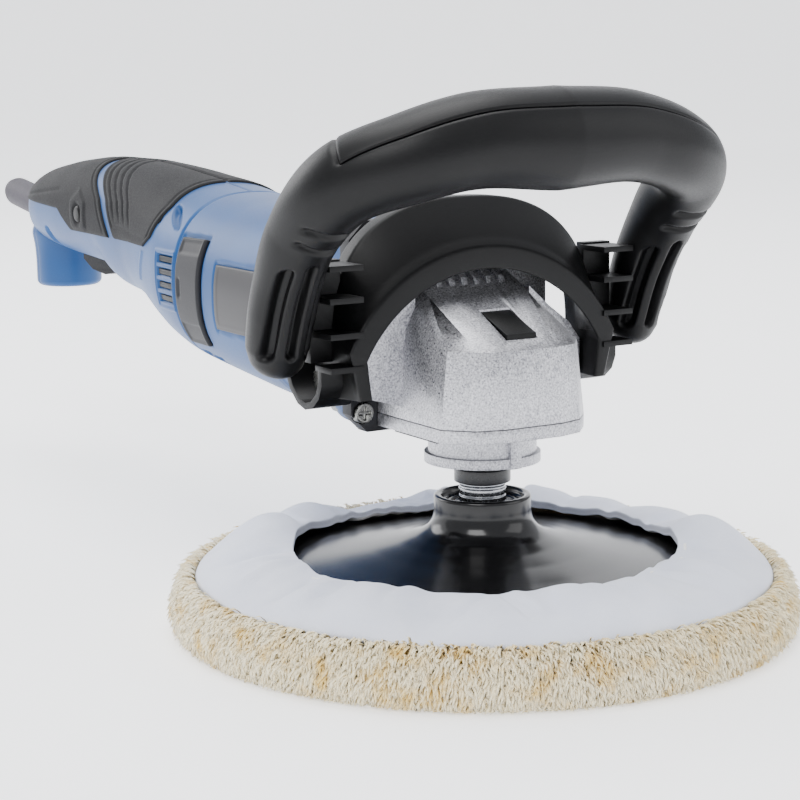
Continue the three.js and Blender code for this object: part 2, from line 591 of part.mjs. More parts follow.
// A plate or grip let into the body: its own solid, and the pocket that it lies in.
function inlay(region, y0, y1, proud = PROUD, depth = INLAY) {
  const lo = Math.max(y0 - 2, bodyStations[0]);
  const piece = common(cut(bodyLoft(lo, y1 + 2, proud), bodyLoft(lo - 1, y1 + 3, -depth)), region(0));
  const pocket = common(cut(bodyLoft(lo, y1 + 2, 6), bodyLoft(lo - 1, y1 + 3, -depth - GAP)), region(GAP));
  return { piece, pocket };
}

const housingFront = plateY + PLATE_T + GAP;
const labelSide = (side) => (grow) => box(...(side > 0 ? [20, FAR] : [-FAR, -20]), 93 - grow, 126 + grow,
  84.5 - grow, 108.5 + grow);
const brushSide = (side) => (grow) => sideProfile(grown([
  [138, 116.5], [156.4, 113], [157.6, 106], [157.6, 88], [156.4, 82], [138, 76.5]], grow),
side > 0 ? 12 : -FAR, side > 0 ? FAR : -12);
const labels = [-1, 1].map((side) => inlay(labelSide(side), 90, 129, 0.2, 1));
const brushes = [-1, 1].map((side) => inlay(brushSide(side), 134, 158.4, 1.1, 1.4));

const holderBore = (side) => (side > 0 ? [12, 60] : [-60, -12]);
const brushY = STATOR_Y + STATOR_T + 20;
const shoulder = (y, half, low, chamfer) => flangeOutline(half, low, chamfer).map(
  ([x, z]) => new THREE.Vector3(x, y, z));
const housingNose = solid(new ConvexGeometry([
  ...shoulder(housingFront, PLATE_HALF - 0.5, 62.6, 6), ...shoulder(housingFront + 5, PLATE_HALF - 0.5, 62.6, 6),
  ...bodySection(housingFront + 24, 0.02)]));
// two ribs inside the housing carry the stator
const statorRib = (y) => turnY(ring(BODY_R - 1, STATOR_R + GAP, y, y + 3), 32);
const housingBody = join(cut(
  join(bodyLoft(housingFront + 1, BODY_END - GAP / 2, 0), housingNose),
  bodyLoft(housingFront + 8, BODY_END + 1, -WALL - 0.6)),
statorRib(STATOR_Y + 5), statorRib(STATOR_Y + STATOR_T - 8));
add('motor_housing', cut(housingBody,
  turnY(disc(FAN_R + 1.2, housingFront - 1, housingFront + 9), 32),
  ...plateSpots.map(([x, z]) => turnY(disc(2 + GAP, housingFront - 1, housingFront + 13), 10, x, z)),
  ...labels.map((l) => l.pocket), ...brushes.map((b) => b.pocket)), 'blue');
['left', 'right'].forEach((name, i) => {
  add(`label_plate_${name}`, labels[i].piece, 'plate');
  add(`brush_cover_${name}`, brushes[i].piece, 'plate');
  const side = i ? 1 : -1;
  const [inner, outer] = [13 + 1, BODY_R - 4.5];
  const span = (a, b) => (side > 0 ? [a, b] : [-b, -a]);
  const holder = box(...span(inner + 1.5, outer), brushY - 6, brushY + 6, MOTOR_Z - 5, MOTOR_Z + 5);
  const slot = box(...span(inner, outer - 1.5), brushY - 3.6, brushY + 3.6, MOTOR_Z - 2.8, MOTOR_Z + 2.8);
  add(`brush_holder_${name}`, cut(holder, slot), 'brass');
  add(`carbon_brush_${name}`, box(...span(13.4, outer - 5), brushY - 3.2, brushY + 3.2,
    MOTOR_Z - 2.4, MOTOR_Z + 2.4), 'carbon');
});

// rear handle: outer form, cavity and the parts that stand in it
const rib = WALL;
const pommelOuter = turnZ([[0, POMMEL_Z], [POMMEL_R - 1.5, POMMEL_Z], [POMMEL_R, POMMEL_Z + 1.5],
  [POMMEL_R, 112], [0, 112]], 28, 0, POMMEL_Y);
const pommelInner = turnZ(disc(POMMEL_R - WALL, POMMEL_Z + WALL, 110), 24, 0, POMMEL_Y);
const handleOuter = join(bodyLoft(BODY_END + GAP / 2, TAIL, 0), pommelOuter);
const handleInner = join(bodyLoft(BODY_END - 1, TAIL - rib, -WALL), pommelInner);

const frontGrip = (grow) => sideProfile(grown([
  [197, 109.5], [188, 114], [180, 126], [182, 146], [289.5, 146], [274, 135], [258, 125], [247, 114],
  [241, 109.5]], grow), -FAR, FAR);
const rearGrip = (grow) => sideProfile(grown([
  [247, 109], [253, 114], [264, 125], [280, 135], [295.5, 146], [TAIL - 8, 146], [TAIL - 8, 119], [306, 118],
  [290, 109]], grow), -FAR, FAR);
const gripF = inlay(frontGrip, 178, 293);
const gripR = inlay(rearGrip, 244, TAIL - 2.5);

const slots = [];
for (const side of [-1, 1]) {
  for (let k = 0; k < 4; k++) {
    const z = 90 + k * 5.1;
    slots.push(box(...(side > 0 ? [15, FAR] : [-FAR, -15]), 163, 178, z, z + 3.1));
  }
}

// switch trigger, its pivot and its hole in the belly
const PIVOT = { y: 272.5, z: 98.5 };
const TRIGGER_END = 314;
const triggerShape = [[269.5, 101], [270, 95], [276, 91.4], [290, 89.2], [304, 90.4], [TRIGGER_END, 94.4],
  [TRIGGER_END, 102.5], [292, 104], [274, 103.5]];
const triggerHole = box(-8 - FIT, 8 + FIT, 269, TRIGGER_END + FIT + 0.4, 80, 104);
add('switch_trigger', cut(sideProfile(triggerShape, -8, 8),
  turnX(disc(1.6 + GAP, -10, 10), 12, PIVOT.y, PIVOT.z)), 'grip');
add('trigger_pin', turnX(disc(1.6, -11, 11), 12, PIVOT.y, PIVOT.z), 'steel');

// speed wheel, half sunk in the belly ahead of the trigger
const WHEEL = { y: 249, z: 92.5, r: 11.5, half: 3.4 };
const wheelTeeth = [];
for (let k = 0; k < 40; k++) {
  const r = k % 2 ? WHEEL.r : WHEEL.r - 0.7;
  const a = k / 40 * 2 * Math.PI;
  wheelTeeth.push([WHEEL.y + r * Math.cos(a), WHEEL.z + r * Math.sin(a)]);
}
add('speed_wheel', cut(sideProfile(wheelTeeth, -WHEEL.half, WHEEL.half),
  turnX(disc(1.5 + GAP, -6, 6), 12, WHEEL.y, WHEEL.z)), 'lime');
add('speed_control', join(turnX(disc(1.5, -5, 11), 12, WHEEL.y, WHEEL.z),
  box(7, 11, WHEEL.y - 6, WHEEL.y + 1.5, WHEEL.z - 1.4, WHEEL.z + 12)), 'board');
const wheelHole = box(-WHEEL.half - FIT, WHEEL.half + FIT, WHEEL.y - WHEEL.r - FIT - 2, WHEEL.y + WHEEL.r + FIT,
  70, WHEEL.z + 3);

// lock-on button through the left flank, over the trigger
const LOCK = { y: 278, z: 117.5, r: 3.6 };
const lockHole = turnX(disc(LOCK.r + FIT, -FAR, -10), 18, LOCK.y, LOCK.z);
add('lock_on_button', join(turnX(disc(LOCK.r, -25.6, -14), 18, LOCK.y, LOCK.z),
  turnX(disc(LOCK.r + 1.6, -17.6, -15), 18, LOCK.y, LOCK.z)), 'black');
add('switch_body', box(-11, 11, 278, 312, 109, 126), 'black');
add('control_board', box(-16, 16, 190, 232, 118, 121), 'board');

// the boot and its hole share a frame that points up a little, from inside the tail
const BOOT_Z = 113.5;
const bootPose = new THREE.Matrix4().makeRotationX(THREE.MathUtils.degToRad(BOOT_RISE))
  .setPosition(0, TAIL, BOOT_Z);
function turnBoot(profile) {
  const g = new THREE.LatheGeometry(profile.map(([r, y]) => new THREE.Vector2(r, y)), 20);
  return solid(g.applyMatrix4(bootPose));
}
const bootHole = turnBoot(disc(BOOT_R - 1.5 + GAP, -20, 20));
const pinHole = turnX(disc(1.6 + GAP, -11 - GAP, 11 + GAP), 12, PIVOT.y, PIVOT.z);
const shellCut = [handleInner, pinHole, gripF.pocket, gripR.pocket, ...slots, triggerHole, wheelHole, bootHole];
for (const [name, side, half] of halves) {
  const openings = side < 0 ? [...shellCut, lockHole] : shellCut;
  add(`handle_shell_${name}`, common(cut(handleOuter, ...openings), half), 'blue');
  add(`front_grip_${name}`, common(gripF.piece, half), 'grip');
  const rear = common(gripR.piece, half);
  add(`rear_grip_${name}`, side < 0 ? cut(rear, lockHole) : rear, 'grip');
}

// boot at the tail: a flange inside the shells, a waist in the hole and a round end outside
add('cord_boot', turnBoot([
  [0, -9], [BOOT_R - 1.2, -9], [BOOT_R - 1.2, -6], [BOOT_R - 1.5, -6],
  [BOOT_R - 1.5, 1.5], [BOOT_R, 4], [BOOT_R - 0.3, BOOT_LENGTH - 6], [BOOT_R - 2, BOOT_LENGTH - 1.5],
  [0, BOOT_LENGTH]]), 'boot');

// ---------------------------------------------------------------- saddle of the bail handle

const ARCH_Y = -3;           // front lip
const ARCH_CREST = 9;        // where its sloping face reaches full height
const archBack = HEAD_BACK - FLANGE_DEPTH - GAP;
const ARCH_SHOULDER = 92;    // height at which the lip leaves its circle
const LIP_FOOT = [43, 46];   // inner and outer edge of the lip at its foot
const ARCH_STEPS = 38;

// One cut through the saddle, at a share of the way from the right foot over to the left one.
function archSection(t) {
  const legShare = 0.16;
  const along = Math.min(Math.max((t - legShare) / (1 - 2 * legShare), 0), 1);
  const a = Math.PI * along;
  const foot = t < legShare ? 1 - t / legShare : t > 1 - legShare ? (t - 1 + legShare) / legShare : 0;
  const drop = foot * (ARCH_SHOULDER - LEG_Z);
  const side = Math.cos(a);
  const up = Math.sin(a);
  const soft = (v, p) => Math.sign(v) * Math.abs(v) ** p;
  // the lip keeps to its circle down to the shoulder, then narrows to the foot
  const lip = (r, footX) => {
    const start = Math.asin((ARCH_SHOULDER - ARCH_FRONT_Z) / ARCH_FRONT_R);
    const turn = start + (Math.PI - 2 * start) * along;
    const x = r * Math.cos(turn);
    if (foot === 0) return [x, ARCH_FRONT_Z + r * Math.sin(turn)];
    return [x + (Math.sign(side) * footX - x) * foot, ARCH_SHOULDER - drop];
  };
  const back = (inset) => [
    (ARCH_HALF - inset) * soft(side, 0.8),
    ARCH_SHOULDER - drop + (ARCH_TOP - inset - ARCH_SHOULDER) * soft(up, 0.8)];
  const at = ([x, z], y) => new THREE.Vector3(x, y, z);
  return [at(lip(ARCH_FRONT_R - ARCH_WALL, LIP_FOOT[0]), ARCH_Y), at(lip(ARCH_FRONT_R, LIP_FOOT[1]), ARCH_Y), at(back(0), ARCH_CREST),
    at(back(0), archBack), at(back(ARCH_WALL), archBack), at(back(ARCH_WALL), ARCH_CREST + 1)];
}
const arch = [];
for (let k = 0; k <= ARCH_STEPS; k++) arch.push(archSection(k / ARCH_STEPS));

const LEG = { in: 43.5, seat: 47.2, out: 57 };   // trough of each foot, along X
const TROUGH = [[4, 88], [4, 82], [6, 77.5], [10, 74.2], [15, 73], [20, 74.4], [25, 78.5], [28, 84], [28, 87]];
const TROUGH_HOLLOW = [[6.2, 88.6], [6.2, 82.4], [8, 78.8], [11.3, 76.1], [15, 75.2], [19, 76.3], [23, 79.8],
  [25.8, 84.5], [25.8, 88.6]];
function sideFrame(side) {
  const span = (a, b) => (side > 0 ? [a, b] : [-b, -a]);
  const reach = ARM_X - ARM_HALF - GAP;
  const back = box(...span(ARCH_HALF - 3, reach), 9, 13, 86, 120.5);
  const shelves = [87.5, 98, 109, 119].map((z) => box(...span(ARCH_HALF - 4, reach), -4, 10, z - 0.9, z + 0.9));
  const outer = sideProfile(TROUGH, ...span(LEG.in, LEG.out));
  const inner = sideProfile(TROUGH_HOLLOW, ...span(LEG.seat, LEG.out + 1));
  return { body: [back, ...shelves, outer], hole: inner };
}
const right = sideFrame(1);
const left = sideFrame(-1);
const boltHole = (side) => turnX(disc(BOLT.r + GAP, side * 36, side * 49), 14, BOLT.y, BOLT.z);
const boltRoom = (side) => turnX(disc(BOLT.head + 0.6, side * (LEG.seat - 0.1), side * 60), 18, BOLT.y, BOLT.z);

// ---------------------------------------------------------------- bail

const barStops = [
  [0, BAR_Y, BAR_Z], [28, BAR_Y + 1.5, BAR_Z], [48, BAR_Y + 5, BAR_Z - 4.5], [ARM_X - 4.5, -24, 146],
  [ARM_X, -6.5, 130], [ARM_X, 3.5, 114], [ARM_X, 9.5, 99], [ARM_X - 0.7, 13.5, 86]];
const mirrored = barStops.slice(1).reverse().map(([x, y, z]) => [-x, y, z]);
const bailCurve = new THREE.CatmullRomCurve3(
  [...mirrored, ...barStops].map((p) => new THREE.Vector3(...p)), false, 'centripetal');
const forward = new THREE.Vector3(0, -0.858, -0.513);
const bailWidth = [[0, ARM_HALF - 3.5], [0.03, ARM_HALF - 0.6], [0.07, ARM_HALF], [0.17, ARM_HALF + 0.2],
  [0.27, 12.4], [0.38, 13.6], [0.5, BAR_R]];
const bailDepth = [[0, 8], [0.03, 10.2], [0.1, 11], [0.26, 13], [0.4, 15], [0.5, BAR_R + 0.4]];

// Section of the bail at share t; `turn0` to `turn1` limit it to part of its circle.
function bailSection(t, grow, turn0 = 0, turn1 = 2 * Math.PI, sides = 14) {
  const at = bailCurve.getPointAt(t);
  const tangent = bailCurve.getTangentAt(t);
  const front = forward.clone().addScaledVector(tangent, -forward.dot(tangent)).normalize();
  const out = front.clone().cross(tangent);
  const half = t < 0.5 ? t : 1 - t;
  const [w, d] = [eased(bailWidth, half) + grow, eased(bailDepth, half) + grow];
  const closed = turn1 - turn0 > 6.28;
  const points = [];
  const count = closed ? sides : sides + 1;
  for (let k = 0; k < count; k++) {
    const a = turn0 + (turn1 - turn0) * k / sides;
    points.push(at.clone().addScaledVector(out, w * Math.cos(a)).addScaledVector(front, d * Math.sin(a)));
  }
  return points;
}
function bail(t0, t1, grow, turn0, turn1, sides) {
  const steps = 22;
  const sections = [];
  for (let k = 0; k <= steps; k++) sections.push(bailSection(t0 + (t1 - t0) * k / steps, grow, turn0, turn1, sides));
  return loft(sections);
}
const SEAM = THREE.MathUtils.degToRad(18);
const HOLLOW = 3;
const coverSpan = [0.27, 0.73];
const tube = bail(0, 1, 0);
const hollow = bail(0.12, 0.88, -HOLLOW, undefined, undefined, 8);
const coverZone = bail(...coverSpan, 4, SEAM - Math.PI, SEAM, 12);
const coverRoom = bail(coverSpan[0] - 0.001, coverSpan[1] + 0.001, 5, SEAM - Math.PI - 0.02, SEAM + 0.02, 12);
add('bail_cover', common(cut(tube, hollow), coverZone), 'black');
add('bail_frame', cut(tube, hollow, coverRoom), 'black');
const bailRoom = bail(0, 1, GAP);
add('saddle', cut(join(loft(arch), ...right.body, ...left.body), right.hole, left.hole,
  boltHole(1), boltHole(-1), boltRoom(1), boltRoom(-1), bailRoom), 'black');

for (const [name, side] of [['left', -1], ['right', 1]]) {
  const seat = LEG.seat + 0.2;
  const head = turnX(disc(BOLT.head, side * seat, side * (seat + 4.4)), 6, BOLT.y, BOLT.z);
  const shank = turnX(disc(BOLT.r, side * 22, side * (seat + 1)), 14, BOLT.y, BOLT.z);
  add(`handle_bolt_${name}`, join(head, shank), 'steel');
}

export default polished;
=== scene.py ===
"""Rotary polisher with a wool bonnet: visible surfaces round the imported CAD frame.

Shapes are worked out in millimetres as whole numpy arrays and turned to metres when a mesh is made.
"""
import json
import math
import bmesh
import bpy
import numpy as np
from mathutils import Matrix, Vector

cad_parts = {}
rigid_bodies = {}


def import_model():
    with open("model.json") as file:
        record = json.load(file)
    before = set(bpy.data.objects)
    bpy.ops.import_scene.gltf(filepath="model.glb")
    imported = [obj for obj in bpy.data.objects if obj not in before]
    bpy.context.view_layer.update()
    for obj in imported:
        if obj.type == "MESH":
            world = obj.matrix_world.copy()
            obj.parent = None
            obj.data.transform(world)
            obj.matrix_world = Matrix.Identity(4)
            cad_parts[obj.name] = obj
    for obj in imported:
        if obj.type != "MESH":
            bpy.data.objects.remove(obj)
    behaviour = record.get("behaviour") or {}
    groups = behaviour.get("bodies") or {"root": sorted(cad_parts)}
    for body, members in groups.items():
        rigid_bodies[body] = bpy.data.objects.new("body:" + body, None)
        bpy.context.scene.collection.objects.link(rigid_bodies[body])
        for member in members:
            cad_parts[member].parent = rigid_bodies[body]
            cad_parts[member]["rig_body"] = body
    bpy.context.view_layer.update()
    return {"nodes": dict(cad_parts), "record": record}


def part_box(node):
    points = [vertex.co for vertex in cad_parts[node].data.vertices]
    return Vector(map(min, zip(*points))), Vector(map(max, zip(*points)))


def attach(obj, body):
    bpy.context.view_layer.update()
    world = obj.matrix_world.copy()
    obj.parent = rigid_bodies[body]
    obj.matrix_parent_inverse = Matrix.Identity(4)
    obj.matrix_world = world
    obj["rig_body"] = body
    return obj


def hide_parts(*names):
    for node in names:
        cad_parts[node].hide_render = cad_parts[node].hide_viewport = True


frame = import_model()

MM = 0.001
rng = np.random.default_rng(11)
nodes = frame["nodes"]
slot_of = {s["node"]: s["material_slot"] for s in frame["record"]["subparts"]}


def place_object(name, data):
    """New object of this data, linked into the scene."""
    thing = bpy.data.objects.new(name, data)
    bpy.context.scene.collection.objects.link(thing)
    return thing


# ------------------------------------------------------------------ camera, floor and light

VIEW_TURN = (-31.1027, 9.6729, -0.6120)         # yaw to the right of +Y, pitch down and roll, in degrees
VIEW_FROM = (-0.35270, -0.53316, 0.18187)       # metres
SENSOR = 36                                     # width of the camera's sensor in mm
FOCAL_WIDTHS = 2.500808375                      # focal length in widths of the sensor


def place_camera():
    """Camera as a pinhole, turned by yaw and pitch and then rolled about its line of sight."""
    yaw, pitch, roll = (math.radians(v) for v in VIEW_TURN)
    level = math.cos(pitch)
    forward = Vector((-math.sin(yaw) * level, math.cos(yaw) * level, -math.sin(pitch)))
    right = Vector((math.cos(yaw), math.sin(yaw), 0))
    up = right.cross(forward)
    right_rolled = right * math.cos(roll) + up * math.sin(roll)
    up_rolled = up * math.cos(roll) - right * math.sin(roll)
    camera = place_object("camera", bpy.data.cameras.new("camera"))
    camera.data.sensor_width = SENSOR
    camera.data.lens = FOCAL_WIDTHS * SENSOR
    camera.data.clip_start = 0.01
    basis = Matrix((right_rolled, up_rolled, -forward)).transposed()
    camera.matrix_world = Matrix.Translation(VIEW_FROM) @ basis.to_4x4()
    bpy.context.scene.camera = camera


def area_light(name, where, towards, size, power):
    """Square soft light at one point, turned to face another."""
    data = bpy.data.lights.new(name, "AREA")
    data.size = size
    data.energy = power
    lamp = place_object(name, data)
    lamp.location = where
    lamp.rotation_euler = (Vector(towards) - Vector(where)).to_track_quat("-Z", "Y").to_euler()


place_camera()
area_light("key_softbox", (-1.1, -0.9, 1.7), (0, 0.1, 0.08), 1.1, 30)
area_light("fill_softbox", (1.3, -1.1, 0.9), (0, 0.1, 0.08), 1.2, 8)
area_light("top_softbox", (0.1, 0.5, 1.9), (0, 0.15, 0.08), 1.3, 30)
area_light("rear_strip", (-0.6, 1.5, 0.8), (0, 0.2, 0.1), 0.8, 9)
world = bpy.data.worlds.new("studio")
bpy.context.scene.world = world
world.use_nodes = True
sky = world.node_tree.nodes["Background"].inputs
sky["Color"].default_value = (0.93, 0.95, 1.0, 1)
sky["Strength"].default_value = 0.95


# ------------------------------------------------------------------ materials

def linear(code):
    """sRGB hex string to linear RGBA."""
    s = np.array([int(code[i:i + 2], 16) / 255 for i in (1, 3, 5)])
    low = s / 12.92
    high = ((s + 0.055) / 1.055) ** 2.4
    return (*np.where(s <= 0.04045, low, high), 1.0)


def put(tree, kind, settings=None, **links):
    """Adds a node: settings go on its attributes, links on its inputs as sockets or plain values."""
    n = tree.nodes.new(kind)
    for key, value in (settings or {}).items():
        setattr(n, key, value)
    for key, value in links.items():
        name = key.replace("_", " ")
        socket = n.inputs[int(name[1:])] if name[0] == "i" and name[1:].isdigit() else n.inputs[name]
        if isinstance(value, bpy.types.NodeSocket):
            tree.links.new(value, socket)
        else:
            socket.default_value = value
    return n


def blank_finish(name):
    """New material with nodes, its node tree and its principled shader."""
    material = bpy.data.materials.new(name)
    material.use_nodes = True
    return material, material.node_tree, material.node_tree.nodes["Principled BSDF"]


def finish_of(name, shades, grain_mm, bump, roughness, metallic=0.0, spread=0.5, uneven=0.0, **sockets):
    """Principled finish whose colour runs between two shades and whose relief follows one grain.

    shades: two hex colours; grain_mm: size of one grain; bump: its height in mm;
    spread: how much of the shade change follows the fine grain, the rest follows a broad cloud;
    uneven: how far the roughness wanders with the fine grain.
    """
    material, tree, shader = blank_finish(name)
    place = put(tree, "ShaderNodeTexCoord").outputs["Object"]
    fine = put(tree, "ShaderNodeTexNoise", Vector=place, Scale=1 / (grain_mm * MM), Detail=3.0,
               Roughness=0.6)
    broad = put(tree, "ShaderNodeTexNoise", Vector=place, Scale=28.0, Detail=2.0)
    share = put(tree, "ShaderNodeMix", i0=spread, i2=broad.outputs["Fac"], i3=fine.outputs["Fac"])
    ramp = put(tree, "ShaderNodeMapRange", Value=share.outputs[0], From_Min=0.36, From_Max=0.64)
    mix = put(tree, "ShaderNodeMix", {"data_type": "RGBA"}, i0=ramp.outputs[0],
              i6=linear(shades[0]), i7=linear(shades[1]))
    tree.links.new(mix.outputs[2], shader.inputs["Base Color"])
    relief = put(tree, "ShaderNodeBump", Height=fine.outputs["Fac"], Distance=bump * MM, Strength=1.0)
    tree.links.new(relief.outputs["Normal"], shader.inputs["Normal"])
    if uneven:
        gloss = put(tree, "ShaderNodeMapRange", Value=fine.outputs["Fac"], From_Min=0.3, From_Max=0.7,
                    To_Min=roughness - uneven, To_Max=roughness + uneven)
        tree.links.new(gloss.outputs[0], shader.inputs["Roughness"])
    else:
        shader.inputs["Roughness"].default_value = roughness
    shader.inputs["Metallic"].default_value = metallic
    for key, value in sockets.items():
        shader.inputs[key.replace("_", " ")].default_value = value
    return material


# glass-filled nylon, moulded in a spark-eroded tool: a tight leathery grain that breaks up the highlight
nylon_black = finish_of("glass_filled_nylon_black", ("#050506", "#0a0a0b"), 0.55, 0.035, 0.42,
                        uneven=0.06, Specular_IOR_Level=0.22)
# ABS, injection moulded with a fine satin texture: soft broad highlights, colour nearly even
abs_blue = finish_of("moulded_abs_blue", ("#0f4176", "#154b83"), 0.45, 0.012, 0.40, spread=0.3, uneven=0.05,
                     Specular_IOR_Level=0.35)
# overmoulded thermoplastic rubber: dull, with a faint dusty mottle
tpe_grip = finish_of("overmoulded_rubber_charcoal", ("#0e0e10", "#161619"), 0.7, 0.03, 0.66, uneven=0.08,
                     Specular_IOR_Level=0.2)
# nylon, moulded, charcoal: the covers and the adapter plate
nylon_grey = finish_of("moulded_nylon_grey", ("#1c1c1f", "#242428"), 0.6, 0.02, 0.50, uneven=0.05,
                       Specular_IOR_Level=0.3)
# die-cast aluminium, shot-blasted: bright sparkling grains, drawn coarse at 0.6 mm so that they show
cast_alloy = finish_of("blasted_cast_aluminium", ("#86868c", "#dadade"), 0.6, 0.09, 0.40, metallic=0.88,
                       spread=0.85, uneven=0.14)
# turned steel: fine rings are too small to show, so only a slight change of gloss
turned_steel = finish_of("turned_steel", ("#9b9da1", "#b7b9bd"), 0.5, 0.004, 0.24, metallic=1.0,
                         uneven=0.05)
# zinc-plated steel screws: duller and slightly yellow
zinc_steel = finish_of("zinc_plated_steel", ("#6f7070", "#94938c"), 0.5, 0.006, 0.30, metallic=1.0,
                       uneven=0.08)
# oil-blacked steel: the dust sleeve, near black with a soft gloss
sleeve_black = finish_of("oil_blacked_steel", ("#161618", "#1f1f22"), 0.5, 0.006, 0.30, uneven=0.05)
# polished ABS: the backing pad, a deep black that mirrors the sky
gloss_black = finish_of("polished_abs_black", ("#0a0a0b", "#0f0f10"), 2.0, 0.002, 0.17,
                        Specular_IOR_Level=0.4)
# polyester foil, unprinted: even and slightly glossy
foil_grey = finish_of("plain_polyester_foil", ("#201e21", "#272528"), 0.8, 0.004, 0.34, uneven=0.03,
                      Specular_IOR_Level=0.3)
# acetal, moulded in lime: the thumb wheel, smooth and bright
acetal_lime = finish_of("moulded_acetal_lime", ("#8fe052", "#a4f266"), 1.0, 0.006, 0.34)
# soft PVC, moulded: the strain-relief boot, cloudy grey with a bloom
pvc_boot = finish_of("soft_pvc_grey", ("#2f2b34", "#3c3743"), 1.2, 0.02, 0.62, uneven=0.08)
# what lies inside the housing and under the wool: silicon steel, copper, brass, carbon, board and foam
lamination = finish_of("stamped_silicon_steel", ("#5f6165", "#74767a"), 0.5, 0.03, 0.55, metallic=0.9)
copper_wire = finish_of("enamelled_copper_wire", ("#a05a2c", "#bd7443"), 0.8, 0.10, 0.38, metallic=0.9)
brass_strip = finish_of("stamped_brass", ("#a98c42", "#bd9f52"), 0.6, 0.01, 0.35, metallic=1.0)
carbon_block = finish_of("pressed_carbon", ("#232323", "#313131"), 0.4, 0.02, 0.8)
board_green = finish_of("lacquered_fibreglass_board", ("#27593a", "#357a50"), 0.8, 0.01, 0.5)
foam_cream = finish_of("open_cell_foam", ("#cdc8ba", "#e0dccf"), 0.8, 0.2, 0.95)


def wool_finish():
    """Sheep's wool: cream with yellowed patches a few locks wide, dull, with a soft halo, and painted shade
    that dims the colour where its fine fibre relief is low.
    """
    material, tree, shader = blank_finish("sheep_wool_cream")
    place = put(tree, "ShaderNodeTexCoord").outputs["Object"]
    locks = put(tree, "ShaderNodeTexNoise", Vector=place, Scale=1 / (9 * MM), Detail=2.0)
    yellow = put(tree, "ShaderNodeMapRange", Value=locks.outputs["Fac"], From_Min=0.50, From_Max=0.68)
    fibres = put(tree, "ShaderNodeTexNoise", Vector=place, Scale=1 / (0.7 * MM), Detail=2.0)
    cream = put(tree, "ShaderNodeMix", {"data_type": "RGBA"}, i0=yellow.outputs[0],
                i6=linear("#fff1c9"), i7=linear("#f2d078"))
    # painted shade: the fibre noise that raises the bump also dims the colour in its low parts
    shade = put(tree, "ShaderNodeMapRange", Value=fibres.outputs["Fac"], To_Min=0.94, To_Max=1.0)
    dim = put(tree, "ShaderNodeVectorMath", {"operation": "SCALE"}, i0=cream.outputs[2],
              Scale=shade.outputs[0])
    tree.links.new(dim.outputs[0], shader.inputs["Base Color"])
    relief = put(tree, "ShaderNodeBump", Height=fibres.outputs["Fac"], Distance=0.4 * MM, Strength=0.8)
    tree.links.new(relief.outputs["Normal"], shader.inputs["Normal"])
    shader.inputs["Roughness"].default_value = 0.95
    shader.inputs["Sheen Weight"].default_value = 0.5
    shader.inputs["Sheen Roughness"].default_value = 0.6
    return material


def cloth_finish(name, shades, thread_mm, crease_mm):
    """Plain weave: two crossed sets of threads on the piece's own UV, which counts millimetres.

    The real threads are 0.25 mm apart and would not show, so they are drawn at thread_mm. Soft crumples
    crease_mm wide lie over them; the same noise paints the colour darker in their hollows, as painted shade.
    """
    material, tree, shader = blank_finish(name)
    uv = put(tree, "ShaderNodeUVMap", {"uv_map": "cloth"}).outputs["UV"]
    split = put(tree, "ShaderNodeSeparateXYZ", Vector=uv)
    waves = []
    for axis in ("X", "Y"):
        turn = put(tree, "ShaderNodeMath", {"operation": "MULTIPLY"}, i0=split.outputs[axis],
                   i1=2 * math.pi / thread_mm)
        waves.append(put(tree, "ShaderNodeMath", {"operation": "SINE"}, i0=turn.outputs[0]).outputs[0])
    weave = put(tree, "ShaderNodeMath", {"operation": "MULTIPLY"}, i0=waves[0], i1=waves[1])
    place = put(tree, "ShaderNodeTexCoord").outputs["Object"]
    crease = put(tree, "ShaderNodeTexNoise", Vector=place, Scale=1 / (crease_mm * MM), Detail=3.0)
    # the crease noise also sets the colour: darker where the crumples are low, which is painted shade
    mix = put(tree, "ShaderNodeMix", {"data_type": "RGBA"}, i0=crease.outputs["Fac"],
              i6=linear(shades[0]), i7=linear(shades[1]))
    tree.links.new(mix.outputs[2], shader.inputs["Base Color"])
    threads = put(tree, "ShaderNodeBump", Height=weave.outputs[0], Distance=0.05 * MM, Strength=0.6)
    folds = put(tree, "ShaderNodeBump", Height=crease.outputs["Fac"], Distance=2.2 * MM, Strength=0.6,
                Normal=threads.outputs["Normal"])
    tree.links.new(folds.outputs["Normal"], shader.inputs["Normal"])
    shader.inputs["Roughness"].default_value = 0.82
    shader.inputs["Sheen Weight"].default_value = 0.25
    return material


wool_cream = wool_finish()
# polyester taffeta, woven: faint lavender cast and soft crumples, with painted shade darkening their hollows
cloth_white = cloth_finish("woven_polyester_white", ("#d3d8ea", "#e9edf8"), 0.9, 14)
# cotton twill tape, woven: brighter white, edges the mouth of the cloth; painted shade darkens the hollows of
# its crumples
tape_white = cloth_finish("woven_cotton_tape", ("#f0f0ee", "#ffffff"), 1.1, 9)

FINISH = {
    "wool": wool_cream, "bonnet_cloth": cloth_white, "foam": foam_cream, "gloss_black": gloss_black,
    "steel": turned_steel, "black": nylon_black, "cast": cast_alloy, "dark_plate": nylon_grey,
    "iron": lamination, "copper": copper_wire, "blue": abs_blue, "label": foil_grey, "brass": brass_strip,
    "carbon": carbon_block, "grip": tpe_grip, "lime": acetal_lime, "board": board_green, "boot": pvc_boot}


def dress(piece, material):
    """Gives a piece one material, in place of any it had."""
    piece.data.materials.clear()
    piece.data.materials.append(material)


for node_name, node_object in nodes.items():
    dress(node_object, FINISH[slot_of[node_name]])


# ------------------------------------------------------------------ mesh makers

def smooth(x, low, high):
    """0 below low, 1 above high, and an S-shaped cubic between."""
    t = np.clip((x - low) / (high - low), 0, 1)
    return t * t * (3 - 2 * t)


def groove(distance, half_width):
    """1 on a line and 0 past half_width from it, with a rounded floor."""
    return 1 - smooth(np.abs(distance), half_width * 0.25, half_width)


def shade_round(mesh):
    """Marks every face of a mesh as smoothly shaded."""
    mesh.polygons.foreach_set("use_smooth", np.ones(len(mesh.polygons), dtype=bool))


